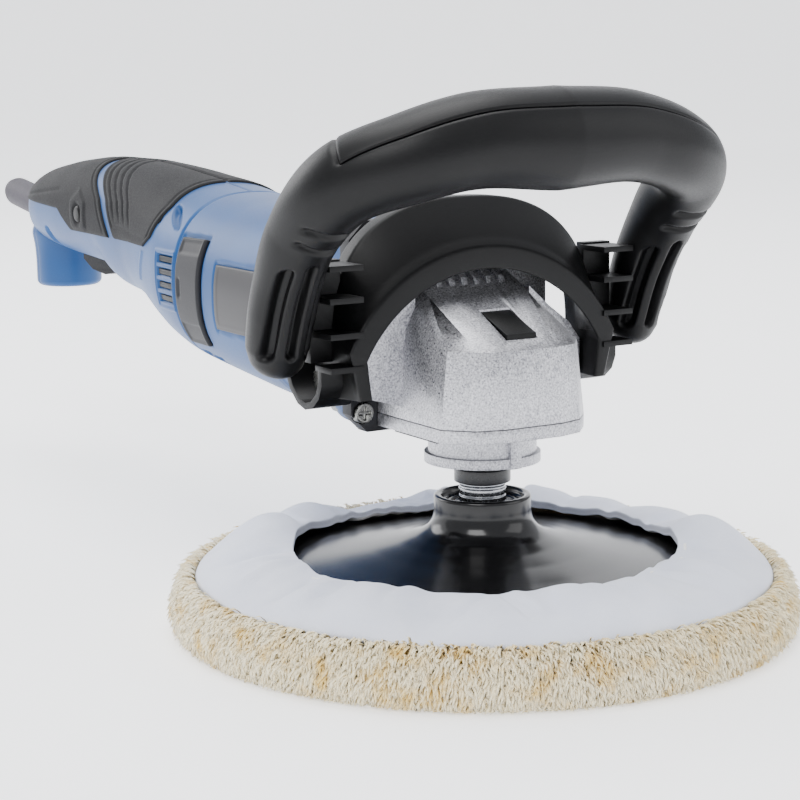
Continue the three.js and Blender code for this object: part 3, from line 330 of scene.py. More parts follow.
def add_piece(name, points, faces, material, body, stands_for=(), inside=None, wall=0.0,
              uv=None):
    """Mesh of points (millimetres) and faces, given its finish, body and the CAD nodes it stands for.

    An open sheet states inside: a point behind each of its points, so that its faces can be turned outwards.
    """
    if inside is not None:
        flat = points.reshape(-1, 3)
        first, second, third, fourth = faces.T
        across = np.cross(flat[third] - flat[first], flat[fourth] - flat[second])
        outwards = flat[first] - np.broadcast_to(inside, points.shape).reshape(-1, 3)[first]
        if np.sum(across * outwards) < 0:
            faces = faces[:, ::-1]
    mesh = bpy.data.meshes.new(name)
    flat = np.ascontiguousarray(points.reshape(-1, 3) * MM, dtype=np.float32)
    corners = faces.shape[1]
    mesh.vertices.add(len(flat))
    mesh.vertices.foreach_set("co", flat.ravel())
    mesh.loops.add(faces.size)
    mesh.loops.foreach_set("vertex_index", faces.ravel().astype(np.int32))
    mesh.polygons.add(len(faces))
    mesh.polygons.foreach_set("loop_start", np.arange(len(faces), dtype=np.int32) * corners)
    mesh.update(calc_edges=True)
    if uv is not None:
        layer = mesh.uv_layers.new(name="cloth")
        layer.data.foreach_set("uv", np.ascontiguousarray(uv[faces.ravel()], dtype=np.float32).ravel())
    shape = bmesh.new()
    shape.from_mesh(mesh)
    bmesh.ops.remove_doubles(shape, verts=shape.verts, dist=0.002 * MM)
    bmesh.ops.dissolve_degenerate(shape, dist=0.001 * MM, edges=shape.edges)
    if inside is None:
        bmesh.ops.recalc_face_normals(shape, faces=shape.faces)
    shape.to_mesh(mesh)
    shape.free()
    shade_round(mesh)
    mesh.update()
    piece = place_object(name, mesh)
    dress(piece, material)
    if wall:
        shell = piece.modifiers.new("wall", "SOLIDIFY")
        shell.thickness = wall * MM
        shell.offset = -1
    if stands_for:
        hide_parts(*stands_for)
    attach(piece, body)
    return piece


def quads(rows, cols, closed=True):
    """Corner numbers of the four-sided faces of a grid, whose last column joins its first if closed."""
    low = np.arange(rows - 1)[:, None] * cols
    left = np.arange(cols if closed else cols - 1)[None, :]
    right = (left + 1) % cols
    return np.stack([low + left, low + right, low + cols + right, low + cols + left], -1).reshape(-1, 4)


def turned(name, profile, centre, material, body, stands_for=(), sides=96, axis=(0, 0, 1),
           relief=None, soften=0.5):
    """Profile of [radius, height] pairs spun about an axis; its corners are rounded by soften mm.

    relief, if given, takes angle and height grids and returns mm to add to the radius.
    """
    p = rounded_line(np.array(profile, float), soften)
    angle = np.linspace(0, 2 * np.pi, sides, endpoint=False)
    radius = np.repeat(p[:, :1], sides, 1)
    height = np.repeat(p[:, 1:], sides, 1)
    if relief is not None:
        raised = relief(np.broadcast_to(angle, radius.shape), height) * (radius > 0.01)
        radius = np.maximum(radius + raised, 0)
    way = np.array(axis, float) / np.linalg.norm(axis)
    side = np.cross(way, (1, 0, 0) if abs(way[0]) < 0.9 else (0, 0, 1))
    side /= np.linalg.norm(side)
    other = np.cross(way, side)
    spoke = np.cos(angle)[:, None] * side + np.sin(angle)[:, None] * other
    points = np.array(centre) + radius[..., None] * spoke + height[..., None] * way
    return add_piece(name, points, quads(len(p), sides), material, body, stands_for)


def rounded_line(p, reach, steps=4):
    """The line with each inner corner replaced by a short curve that starts and ends reach mm from it."""
    out = [p[0][None]]
    for before, corner, after in zip(p[:-2], p[1:-1], p[2:]):
        a, b = before - corner, after - corner
        la, lb = np.linalg.norm(a), np.linalg.norm(b)
        r = min(reach, la * 0.45, lb * 0.45)
        start, end = corner + a / la * r, corner + b / lb * r
        t = np.linspace(0, 1, steps)[:, None]
        out.append((1 - t) ** 2 * start + 2 * t * (1 - t) * corner + t ** 2 * end)
    out.append(p[-1][None])
    return np.concatenate(out)


def machined(name, node, material, bevel, segments=3, angle=32, flat=True):
    """Copy of a CAD node: its loose triangles joined, flat faces made whole, and its edges rounded.

    Edges sharper than angle degrees are rounded by bevel mm; flat keeps the shading of the faces level.
    """
    source = nodes[node]
    mesh = source.data.copy()
    shape = bmesh.new()
    shape.from_mesh(mesh)
    bmesh.ops.remove_doubles(shape, verts=shape.verts, dist=0.004 * MM)
    bmesh.ops.dissolve_limit(shape, angle_limit=math.radians(0.6), verts=shape.verts, edges=shape.edges)
    shape.to_mesh(mesh)
    shape.free()
    shade_round(mesh)
    piece = place_object(name, mesh)
    dress(piece, material)
    edge = piece.modifiers.new("edge", "BEVEL")
    edge.width = bevel * MM
    edge.segments = segments
    edge.limit_method = "ANGLE"
    edge.angle_limit = math.radians(angle)
    edge.miter_outer = "MITER_ARC"
    edge.harden_normals = flat
    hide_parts(node)
    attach(piece, source["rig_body"])
    return piece


# ------------------------------------------------------------------ plastic body

POWER = 2.35                        # squareness of the section: 2 is an ellipse
TAIL = 368.0                        # where the shells end
BODY_FRONT, BODY_SPLIT = 26.9, 160.0    # front of the motor housing, and where the shells begin
HALF_GAP = 0.15                     # half the gap between two mouldings
# half width, lowest height and highest height of the body, each as [y, value] stops
WIDTH = [[20, 34.5], [160, 34.4], [170, 34], [185, 32.5], [200, 30], [215, 27.7], [230, 26], [252, 25],
         [290, 23.4], [315, 22.4], [340, 20.5], [352, 18.6], [360, 16], [TAIL, 10]]
FLOOR = [[20, 59.8], [100, 60], [135, 63.1], [160, 65.4], [170, 66.6], [185, 69.7], [200, 74], [215, 80],
         [230, 84], [252, 86.2], [258, 88.5], [266, 93.6], [290, 95], [315, 96.2], [340, 98], [352, 99.8],
         [360, 102.4], [TAIL, 108]]
TOP = [[20, 128.8], [100, 129.4], [135, 130.2], [160, 131.9], [170, 133], [185, 135], [200, 136.4],
       [215, 137.9], [230, 139], [252, 140.2], [290, 140.1], [315, 137.8], [340, 134.3], [352, 131.4],
       [360, 128], [TAIL, 121]]
FLANGE = (36.3, 62.6, 130.8)        # half width, floor and top of the flange behind the gear head
LABEL = (93, 126, 84.5, 108.5)      # y0, y1, z0, z1 in the side view, as for all that follow
LABEL_BED = (92.2, 126.8, 83.7, 109.3)
COVER_BED = (136.8, 158.6, 77, 117.5)
LOWER_SLOTS = ((139, 146, 69.2, 71.6), (148, 156, 70.4, 72.8))
VENT_PANEL, VENT_FIELD = (160.8, 180.5, 87.4, 110.4), (162.0, 179.3, 88.6, 109.2)
VENTS, VENT_SPAN, VENT_FOOT, VENT_PITCH, VENT_RISE = 4, (163, 178), 90, 5.1, 3.3
BELLY_SLOTS = ((4.2, 237.2, 261.0), (8.7, 268.8, 315.3))     # half width, y0, y1 for wheel and trigger
# centre and radii in the side view, and slant in degrees
SCREW_WELLS = (((326, 103.5), (3.6, 5.6), 0), ((186, 125), (2.8, 5.2), -20), ((171, 122.6), (7.5, 1.9), 30))
LOCK_ON = (278, 117.5)              # y and z of the lock-on button
FOOT_Y = 351.8                      # middle of the post under the tail
STATION = np.arange(20, TAIL + 0.25, 0.5)


def faired(stops, reach=16):
    """Straight runs between stops, averaged over a bell-shaped window so that they bend smoothly."""
    line = np.interp(STATION, *np.array(stops).T)
    window = np.hanning(2 * reach + 1)
    padded = np.pad(line, reach, mode="reflect", reflect_type="odd")
    return np.convolve(padded, window / window.sum(), mode="valid")


width_line, floor_line, top_line = faired(WIDTH), faired(FLOOR), faired(TOP)


def body_measures(y):
    """Half width, middle height, half height and squareness of the body at y.

    Just behind the gear head the section is a rounded square flange, which eases into the body's oval.
    """
    half = np.interp(y, STATION, width_line)
    low, high = np.interp(y, STATION, floor_line), np.interp(y, STATION, top_line)
    flange = 1 - smooth(y, 31, 50)
    half, low, high = (v + (end - v) * flange for v, end in zip((half, low, high), FLANGE))
    return half, (low + high) / 2, (high - low) / 2, POWER + 5 * flange


def on_body(y, angle, lift):
    """Point of the body at y and angle (0 at +X, a quarter turn at the top), lifted outwards by lift mm.

    The section is a superellipse |x/w|^P + |z/h|^P = 1, and the lift follows its normal.
    """
    half, mid, rise, power = body_measures(y)
    c, s = np.cos(angle), np.sin(angle)
    x = half * np.sign(c) * np.abs(c) ** (2 / power)
    z = rise * np.sign(s) * np.abs(s) ** (2 / power)
    nx = np.sign(c) * np.abs(c) ** (2 - 2 / power) / half
    nz = np.sign(s) * np.abs(s) ** (2 - 2 / power) / rise
    size = np.hypot(nx, nz)
    return np.stack([x + lift * nx / size, y, mid + z + lift * nz / size], -1)


def angle_at(y, z):
    """Angle on the +X side at which the body's surface is at height z."""
    _, mid, rise, power = body_measures(y)
    t = np.clip((z - mid) / rise, -1, 1)
    return np.arcsin(np.sign(t) * np.abs(t) ** (power / 2))


def outline(points):
    """(z of the stops, y of the stops) of one edge of a patch, for np.interp."""
    p = np.array(sorted(points, key=lambda q: q[1]))
    return p[:, 1], p[:, 0]


def fine_ends(length, step):
    """Shares 0..1 along a length, spaced by step but closer together near both ends."""
    ends = np.array([0, 0.15, 0.4, 0.8, 1.3])
    middle = np.linspace(ends[-1], length - ends[-1], max(int((length - 2 * ends[-1]) / step), 3))
    return np.concatenate([ends[:-1], middle, (length - ends[:-1])[::-1]]) / length


def patch(name, side, front, rear, low, high, proud, material, node, relief=None, step=0.7, wall=1.1,
          radius=1.0, slot=None):
    """Raised patch let into the body, between a front and a rear edge line and two heights.

    low may be a list of [y, z] stops, where the lower edge climbs. Rows run along y between the edge lines
    and columns round the section; the lift rises from below the body's surface at the rim, over a rounded
    edge, to proud. relief takes y, z and the distances from the front edge, the rear edge and the lower
    edge, and returns mm to add.
    """
    front_z, front_y = outline(front)
    rear_z, rear_y = outline(rear)
    y_mid = np.mean([np.mean(front_y), np.mean(rear_y)])
    low_y, low_z = np.array(low if isinstance(low, list) else [[y_mid, low]], float).T
    v = fine_ends(abs(high - np.mean(low_z)) * 1.3, step)
    over_top = high > np.interp(y_mid, STATION, top_line) - 1
    u = fine_ends(np.mean(rear_y) - np.mean(front_y), step)
    y = np.mean(front_y) + (np.mean(rear_y) - np.mean(front_y)) * u[:, None] + 0 * v
    for _ in range(6):
        h, m, r, p = body_measures(y)
        a_low = angle_at(y, np.interp(y, low_y, low_z))
        a_high = math.pi / 2 - 0.010 if over_top else angle_at(y, high)
        angle = a_low + (a_high - a_low) * v
        z = m + r * np.sign(np.sin(angle)) * np.abs(np.sin(angle)) ** (2 / p)
        y0, y1 = np.interp(z, front_z, front_y), np.interp(z, rear_z, rear_y)
        y = y0 + (y1 - y0) * u[:, None]
    from_front, from_rear = y - y0, y1 - y
    girth = 0.5 * (h + r) * np.abs(np.diff(angle, axis=1, prepend=angle[:, :1]))
    from_low = np.cumsum(girth, axis=1)
    from_high = from_low[:, -1:] - from_low
    rim = np.minimum(np.minimum(from_front, from_rear), from_low)
    if not over_top:
        rim = np.minimum(rim, from_high)
    lift = -1.0 + (1.0 + proud) * np.sqrt(1 - (1 - np.clip(rim / radius, 0, 1)) ** 2)
    if over_top:
        lift = lift - 0.5 * (1 - smooth(from_high, 0.0, 0.6))
    if relief is not None:
        lift = lift + relief(y, z, from_front, from_rear, from_low) * smooth(rim, radius, radius + 1.5)
    points = on_body(y, angle, lift)
    points[..., 0] *= side
    return add_piece(name, points, quads(len(u), len(v), closed=False), material, "housing",
                     (node,) if node else (), body_core(points), wall)


SIDES = (("left", -1), ("right", 1))


def body_core(points):
    """Points on the body's middle line, level with the given ones."""
    y = points[..., 1]
    return np.stack([0 * y, y, body_measures(np.minimum(y, TAIL - 6))[1]], -1)


def ellipse(y, z, centre, radii, slant=0.0):
    """Distance-like measure: below 1 inside an ellipse in the side view, slanted by an angle in degrees."""
    c, s = math.cos(math.radians(slant)), math.sin(math.radians(slant))
    dy, dz = y - centre[0], z - centre[1]
    return np.hypot((dy * c + dz * s) / radii[0], (-dy * s + dz * c) / radii[1])


def within(v, low, high, soft=0.5):
    """1 between low and high, falling to 0 over soft mm at either end."""
    return smooth(v, low - soft / 2, low + soft / 2) * (1 - smooth(v, high - soft / 2, high + soft / 2))


def sunk_box(y, z, span, soft=0.5):
    """1 inside the rectangle y0, y1, z0, z1 of the side view, falling to 0 over soft mm."""
    return within(y, *span[:2], soft) * within(z, *span[2:], soft)


def build_housing():
    """Motor housing: a grid of y and angle over the body's section, with beds for what is let into it."""
    y = np.unique(np.concatenate([[BODY_FRONT, BODY_FRONT + 0.3, BODY_FRONT + 0.8], np.arange(28, 158, 1.0),
                                  [158, 158.8, 159.3, 159.7, BODY_SPLIT - HALF_GAP]]))
    angle = np.linspace(0, 2 * np.pi, 220, endpoint=False)
    yy, aa = np.meshgrid(y, angle, indexing="ij")
    xyz = on_body(yy, aa, 0 * yy)
    z, flank = xyz[..., 2], np.abs(xyz[..., 0]) > 15
    lift = -0.9 * (1 - smooth(yy, BODY_FRONT, BODY_FRONT + 0.8))
    lift = lift - 0.7 * smooth(yy, 159.0, BODY_SPLIT - HALF_GAP)
    for depth, span in ((0.9, LABEL_BED), (0.9, COVER_BED), *((2.2, slot) for slot in LOWER_SLOTS)):
        lift = lift - depth * sunk_box(yy, z, span) * flank
    lift = lift + 0.5 * groove(yy - 86, 1.6) - 0.35 * groove(yy - 88.6, 0.9)
    points = on_body(yy, aa, lift)
    add_piece("motor_housing_skin", points, quads(len(y), len(angle)), abs_blue, "housing",
              ("motor_housing",), inside=body_core(points), wall=2.2)


def shell_relief(yy, aa):
    """Millimetres to add to a handle shell: its vents, belly openings, screw wells, bead and parting line."""
    x, _, z = np.moveaxis(on_body(yy, aa, 0 * yy), -1, 0)
    lift = -0.7 * (1 - smooth(yy, BODY_SPLIT, 161.6))
    lift = lift + 0.45 * (sunk_box(yy, z, VENT_PANEL, 1.0) - sunk_box(yy, z, VENT_FIELD, 0.8))
    for k in range(VENTS):
        foot = VENT_FOOT + VENT_PITCH * k
        lift = lift - 1.5 * sunk_box(yy, z, (*VENT_SPAN, foot, foot + VENT_RISE))
    for half, y0, y1 in BELLY_SLOTS:
        lift = lift - 7 * (x < half) * within(yy, y0, y1, 0.8) * (aa < 0)
    for centre, radii, slant in SCREW_WELLS:
        lift = lift - 2.4 * (1 - smooth(ellipse(yy, z, centre, radii, slant), 0.75, 1.12))
    lift = lift + 0.5 * groove(yy - (203 - 0.55 * (z - 100)), 2.2) * (z > 96) * (z < 108)
    return lift - 0.45 * (1 - smooth(x, HALF_GAP, 0.7))


def build_shells():
    """The two handle shells, as grids of y and angle closed by three shrinking rings at the tail."""
    y = np.unique(np.concatenate([BODY_SPLIT + np.array([HALF_GAP, 0.45, 0.9, 1.5]), np.arange(162, 181, 0.4),
                                  np.arange(181.4, 240, 1.0), np.arange(240, 364, 1.2),
                                  [365, 366, 367, 367.6, TAIL]]))
    arc = np.concatenate([np.linspace(*run) for run in (
        (-90, -84, 10), (-83, -26, 40), (-25.6, 27, 112), (28, 50, 16), (51, 84, 20), (84.6, 90, 8))])
    yy, aa = np.meshgrid(y, np.radians(arc), indexing="ij")
    half = on_body(yy, aa, shell_relief(yy, aa))
    half[..., 0] = np.maximum(half[..., 0], HALF_GAP)
    last, rings = half[-1], []
    for share, back in ((0.86, 0.7), (0.5, 1.2), (0.0, 1.3)):
        ring = last.mean(0) + (last - last.mean(0)) * share
        ring[:, 0] = np.maximum(last[:, 0] * share, HALF_GAP)
        ring[:, 1] = TAIL + back
        rings.append(ring)
    half = np.concatenate([half, rings])
    for name, side in SIDES:
        points = half * (side, 1, 1)
        add_piece(f"handle_shell_skin_{name}", points, quads(len(points), len(arc), closed=False), abs_blue,
                  "housing", (f"handle_shell_{name}",), inside=body_core(points), wall=2.0)


def build_foot():
    """Foot under the tail: a plain round post that flares where it runs into the shells."""
    turned("handle_foot", [[0, 79], [13.2, 79], [15, 80.6], [15.1, 92], [15.5, 98], [16.6, 104], [14, 112],
                           [0, 112]],
           (0, FOOT_Y, 0), abs_blue, "housing", soften=1.6, relief=seam_relief)


def seam_relief(angle, height):
    """Thin parting line down the front and back of the foot, in the plane between the shells."""
    return -0.35 * groove(np.cos(angle) * 15, 0.6) * (height < 111)


def front_grip_relief(y, z, from_front, from_rear, from_low):
    """Four ribs sunk beside the rear edge and a border line that runs right round."""
    fade = smooth(from_low, 4, 9)
    ribs = sum(groove(from_rear - (8 + 6 * k), 1.1) for k in range(4))
    border = groove(np.minimum(np.minimum(from_front, from_rear), from_low) - 3.4, 0.8)
    return -0.75 * ribs * fade - 0.45 * border


def rear_grip_relief(y, z, from_front, from_rear, from_low):
    """Raised six-sided pad round the lock-on button, and two long sunk lines."""
    dy, dz = y - LOCK_ON[0], z - LOCK_ON[1]
    hexagon = np.maximum(np.abs(dy), np.abs(dy) * 0.5 + np.abs(dz) * 0.866)
    pad = 0.6 * (1 - smooth(hexagon, 8.2, 9.4)) - 0.9 * (1 - smooth(np.hypot(dy, dz), 4.1, 5.0))
    lines = groove(z - (128 - 0.10 * (y - 290)), 0.9) * smooth(y, 300, 306) + groove(from_front - 4, 0.8)
    return pad - 0.5 * lines


def brush_cover_relief(y, z, from_front, from_rear, from_low):
    """Two crease lines that split the cover into a middle field and two slanted ends, and a coin slot."""
    ends = 0.5 * smooth(np.abs(z - 97.5), 12.5, 13.6)
    slot = sunk_box(y, z, (153.2, 155.4, 94, 101))
    return -ends - 0.7 * slot


def label_relief(y, z, from_front, from_rear, from_low):
    """Plain plate with one thin raised border line."""
    rim = np.minimum(np.minimum(from_front, from_rear), from_low)
    return 0.12 * groove(rim - 2.0, 0.5)


def square_patch(y0, y1, z0, z1):
    """Front edge, rear edge, foot and top of a patch with square corners."""
    return [[y0, z0], [y0, z1]], [[y1, z0], [y1, z1]], z0, z1


def build_inlays():
    """Soft grips, black sheets painted as shade in the vent slots, brush covers and label plates on both
    sides.
    """
    front_grip = [[[197, 109.5], [188, 114], [180, 126], [182, 146]],
                  [[236, 109.5], [240, 114], [249, 125], [264, 135], [279, 146]]]
    rear_grip = [[[242, 109], [246, 114], [255, 125], [270, 135], [285, 146]],
                 [[360, 100], [360, 146]]]
    rear_low = [[242, 109.4], [290, 109.4], [306, 118], [360, 119.5]]
    for name, side in SIDES:
        patch(f"front_grip_skin_{name}", side, *front_grip, 109.5, 146, 0.9, tpe_grip, f"front_grip_{name}",
              front_grip_relief, step=0.8)
        patch(f"rear_grip_skin_{name}", side, *rear_grip, rear_low, 146, 0.9, tpe_grip, f"rear_grip_{name}",
              rear_grip_relief, step=0.8)
        # black sheets sunk in each vent slot stand for the shade inside it: painted shade
        for k in range(VENTS):
            foot = VENT_FOOT + 0.5 + VENT_PITCH * k
            patch(f"vent_painted_shade_{name}_{k + 1}", side, *square_patch(163.6, 177.4, foot, foot + 2.3), -0.6,
                  nylon_black, None, wall=0.4, radius=0.3, slot="black")
        patch(f"brush_cover_skin_{name}", side, [[138, 76.5], [138, 116.5]],
              [[156.4, 77], [157.6, 88], [157.6, 106], [156.4, 116]], 76.5, 116.5, 1.1, nylon_grey,
              f"brush_cover_{name}", brush_cover_relief)
        patch(f"label_foil_{name}", side, *square_patch(*LABEL), 0.15, foil_grey, f"label_plate_{name}",
              label_relief, step=0.8, radius=0.35)


# ------------------------------------------------------------------ bail handle

ARM_X = 68.7                                    # middle of an arm
BAR_Y, BAR_Z, BAR_HALF = -40.0, 158.0, 15.6     # middle and half width of the bar
# right half of the bail's middle line, from the middle of the bar to a foot
BAR_STOPS = [[0, BAR_Y, BAR_Z], [28, BAR_Y + 1.5, BAR_Z], [48, BAR_Y + 5, BAR_Z - 4.5],
             [ARM_X - 4.5, -24, 146], [ARM_X, -6.5, 130], [ARM_X, 3.5, 114], [ARM_X, 9.5, 99],
             [ARM_X - 0.7, 13.5, 86]]
# half measures of its oval section, by the share of the length from the nearer foot
BAIL_WIDTH = [[0, 7], [0.03, 9.9], [0.07, 10.5], [0.17, 10.7], [0.27, 12.4], [0.38, 13.6], [0.5, BAR_HALF]]
BAIL_DEPTH = [[0, 8], [0.03, 10.2], [0.1, 11], [0.26, 13], [0.4, 15], [0.5, BAR_HALF + 0.4]]
FORWARDS = np.array([0, -0.858, -0.513])        # roughly square to the loop, on its front
PATH_STEPS = 1200
END_ROUND = 4.5
SEAM = math.radians(18)                         # the cover's edge, above the front of the section
COVER_SPAN = (0.27, 0.73)                       # shares of the length between which the cover lies
FINGER_GROOVES = ((-6.9, 117.5), (0.2, 119.5), (7.0, 118.5))    # place across an arm, and top
GROOVE_FOOT = 93


def smooth_path(stops, count):
    """Catmull-Rom curve through the stops, timed by the root of each chord, then spaced evenly by length."""
    p = np.array(stops, float)
    p = np.concatenate([[2 * p[0] - p[1]], p, [2 * p[-1] - p[-2]]])
    time = np.concatenate([[0], np.cumsum(np.sqrt(np.linalg.norm(np.diff(p, axis=0), axis=1)))])
    t = np.linspace(time[1], time[-2], 1500)
    k = np.clip(np.searchsorted(time, t, side="right") - 1, 1, len(p) - 3)

    def blend(a, b, ta, tb):
        return ((tb - t) / (tb - ta))[:, None] * a + ((t - ta) / (tb - ta))[:, None] * b
    t0, t1, t2, t3 = (time[k + i] for i in (-1, 0, 1, 2))
    p0, p1, p2, p3 = (p[k + i] for i in (-1, 0, 1, 2))
    a1, a2, a3 = blend(p0, p1, t0, t1), blend(p1, p2, t1, t2), blend(p2, p3, t2, t3)
    b1, b2 = blend(a1, a2, t0, t2), blend(a2, a3, t1, t3)
    line = blend(b1, b2, t1, t2)
    run = np.concatenate([[0], np.cumsum(np.linalg.norm(np.diff(line, axis=0), axis=1))])
    even = np.linspace(0, run[-1], count)
    return np.stack([np.interp(even, run, line[:, i]) for i in range(3)], -1), run[-1]


mirrored = [[-x, y, z] for x, y, z in BAR_STOPS[:0:-1]]
BAIL_PATH, BAIL_LENGTH = smooth_path(mirrored + BAR_STOPS, PATH_STEPS + 1)


def on_bail(share, turn, lift):
    """Point on the bail: share 0..1 along it from the left foot, turn round its oval section (0 points out
    of the loop and a quarter turn points forwards), lifted by lift mm along the section's normal."""
    steps = np.arange(PATH_STEPS + 1)
    at, along = (np.stack([np.interp(share * PATH_STEPS, steps, line[:, i]) for i in range(3)], -1)
                 for line in (BAIL_PATH, np.gradient(BAIL_PATH, axis=0)))
    along /= np.linalg.norm(along, axis=-1, keepdims=True)
    front = FORWARDS - along * (along @ FORWARDS)[..., None]
    front /= np.linalg.norm(front, axis=-1, keepdims=True)
    out = np.cross(front, along)
    half = np.minimum(share, 1 - share)
    w, d = (np.interp(half, *np.array(t).T) for t in (BAIL_WIDTH, BAIL_DEPTH))
    c, s = np.cos(turn), np.sin(turn)
    size = np.hypot(c / w, s / d)
    across, ahead = w * c + lift * c / w / size, d * s + lift * s / d / size
    return at + across[..., None] * out + ahead[..., None] * front


def arm_relief(flat, angle):
    """Millimetres to add to the arms: finger grooves with round ends, and two short arcs above them."""
    across, z = np.abs(flat[..., 0]) - ARM_X, flat[..., 2]
    facing = np.sin(angle) > 0.15
    lift = 0 * z
    for offset, top in FINGER_GROOVES:
        reach = np.clip(np.abs(z - (top + GROOVE_FOOT) / 2) - (top - GROOVE_FOOT) / 2, 0, None)
        lift = lift - 3.6 * (1 - smooth(np.hypot(across - offset, reach), 1.0, 2.1)) * facing
    for centre, bend in ((125.5, 0.033), (130.5, 0.027)):
        span = 1 - smooth(np.abs(across), 6.5, 8.5)
        lift = lift - 1.5 * groove(z - (centre + bend * (across + 2) ** 2), 1.1) * span * facing
    return lift


def build_bail():
    """The bail's frame, with round ends and a bed all round the front of the bar for its cover."""
    ends = np.array([0, 0.5, 1.2, 2.2, 3.4]) / BAIL_LENGTH
    round_off = END_ROUND / BAIL_LENGTH
    run = np.concatenate([ends, np.linspace(round_off, 1 - round_off, 380), 1 - ends[::-1]])
    turn = np.linspace(0, 2 * np.pi, 132, endpoint=False)
    share, angle = np.meshgrid(run, turn, indexing="ij")
    near = np.clip(np.minimum(share, 1 - share) * BAIL_LENGTH / END_ROUND, 0, 1)
    lift = -END_ROUND * (1 - np.sqrt(1 - (1 - near) ** 2))
    lift = lift + arm_relief(on_bail(share, angle, 0 * share), angle)
    edge_turn = np.abs((angle - (SEAM - math.pi / 2) + math.pi) % (2 * math.pi) - math.pi)
    in_turn = 1 - smooth(edge_turn, math.pi / 2 - 0.01, math.pi / 2 + 0.035)
    first, last = COVER_SPAN
    in_run = smooth(share, first - 0.002, first) * (1 - smooth(share, last, last + 0.002))
    points = on_bail(share, angle, lift - 1.6 * in_turn * in_run)
    caps = [end + (end.mean(1, keepdims=True) - end) * k
            for end, shares in ((points[:1], (1.0, 0.5)), (points[-1:], (0.5, 1.0))) for k in shares]
    points = np.concatenate([*caps[:2], points, *caps[2:]])
    add_piece("bail_grip_frame", points, quads(len(points), len(turn)), nylon_black, "housing",
              ("bail_frame",))


def build_bail_cover():
    """Cover let into the front of the bar, with a rounded edge."""
    first, last = COVER_SPAN
    run = first + (last - first) * fine_ends(BAIL_LENGTH * 0.46, 1.1)
    turn = SEAM - math.pi + math.pi * fine_ends(48, 0.8)
    share, angle = np.meshgrid(run, turn, indexing="ij")
    rim_turn = np.minimum(angle - (SEAM - math.pi), SEAM - angle) * 15.5
    rim_run = np.minimum(share - first, last - share) * BAIL_LENGTH
    rim = np.minimum(rim_turn, rim_run)
    lift = -1.5 + 1.5 * np.sqrt(1 - (1 - np.clip(rim / 0.8, 0, 1)) ** 2)
    points = on_bail(share, angle, lift)
    add_piece("bail_grip_cover", points, quads(len(run), len(turn), closed=False), nylon_black, "housing",
              ("bail_cover",), inside=on_bail(share, angle, 0 * share - 9), wall=1.2)


# ------------------------------------------------------------------ gear head and spindle

def build_head():
    """Castings, plate, saddle, screws and the small moving pieces, with their edges rounded."""
    machined("gear_housing_casting", "gear_housing", cast_alloy, bevel=0.9)
    machined("gearbox_cover_casting", "gearbox_cover", cast_alloy, bevel=0.5)
    machined("adapter_plate_moulding", "adapter_plate", nylon_grey, bevel=0.7)
    machined("saddle_moulding", "saddle", nylon_black, bevel=0.8, angle=36, flat=False)
    machined("spindle_lock_key", "spindle_lock_button", nylon_black, bevel=0.7)
    machined("trigger_moulding", "switch_trigger", tpe_grip, bevel=1.6, segments=4)
    for k in range(1, 5):
        machined(f"plate_screw_head_{k}", f"plate_screw_{k}", zinc_steel, bevel=0.25, segments=2)
        machined(f"cover_screw_head_{k}", f"cover_screw_{k}", zinc_steel, bevel=0.25, segments=2)
    for name, _ in SIDES:
        machined(f"handle_bolt_head_{name}", f"handle_bolt_{name}", zinc_steel, bevel=0.4)


PROUD = 0.35                        # how far the arch stands outside the moulding that carries it
LIP_Z, LIP_IN, LIP_OUT, LIP_Y = 64.7, 51, 57, -3        # the front lip's circle
REAR_HALF, REAR_TOP, REAR_Y, CREST_Y = 50, 138, 15.4, 9
ARCH_WALL = 6
SHOULDER, FOOT_Z = 92.0, 77.0
FOOT_IN, FOOT_OUT = 43, 46
LEG_SHARE = 0.16                    # share of the sweep that each leg takes


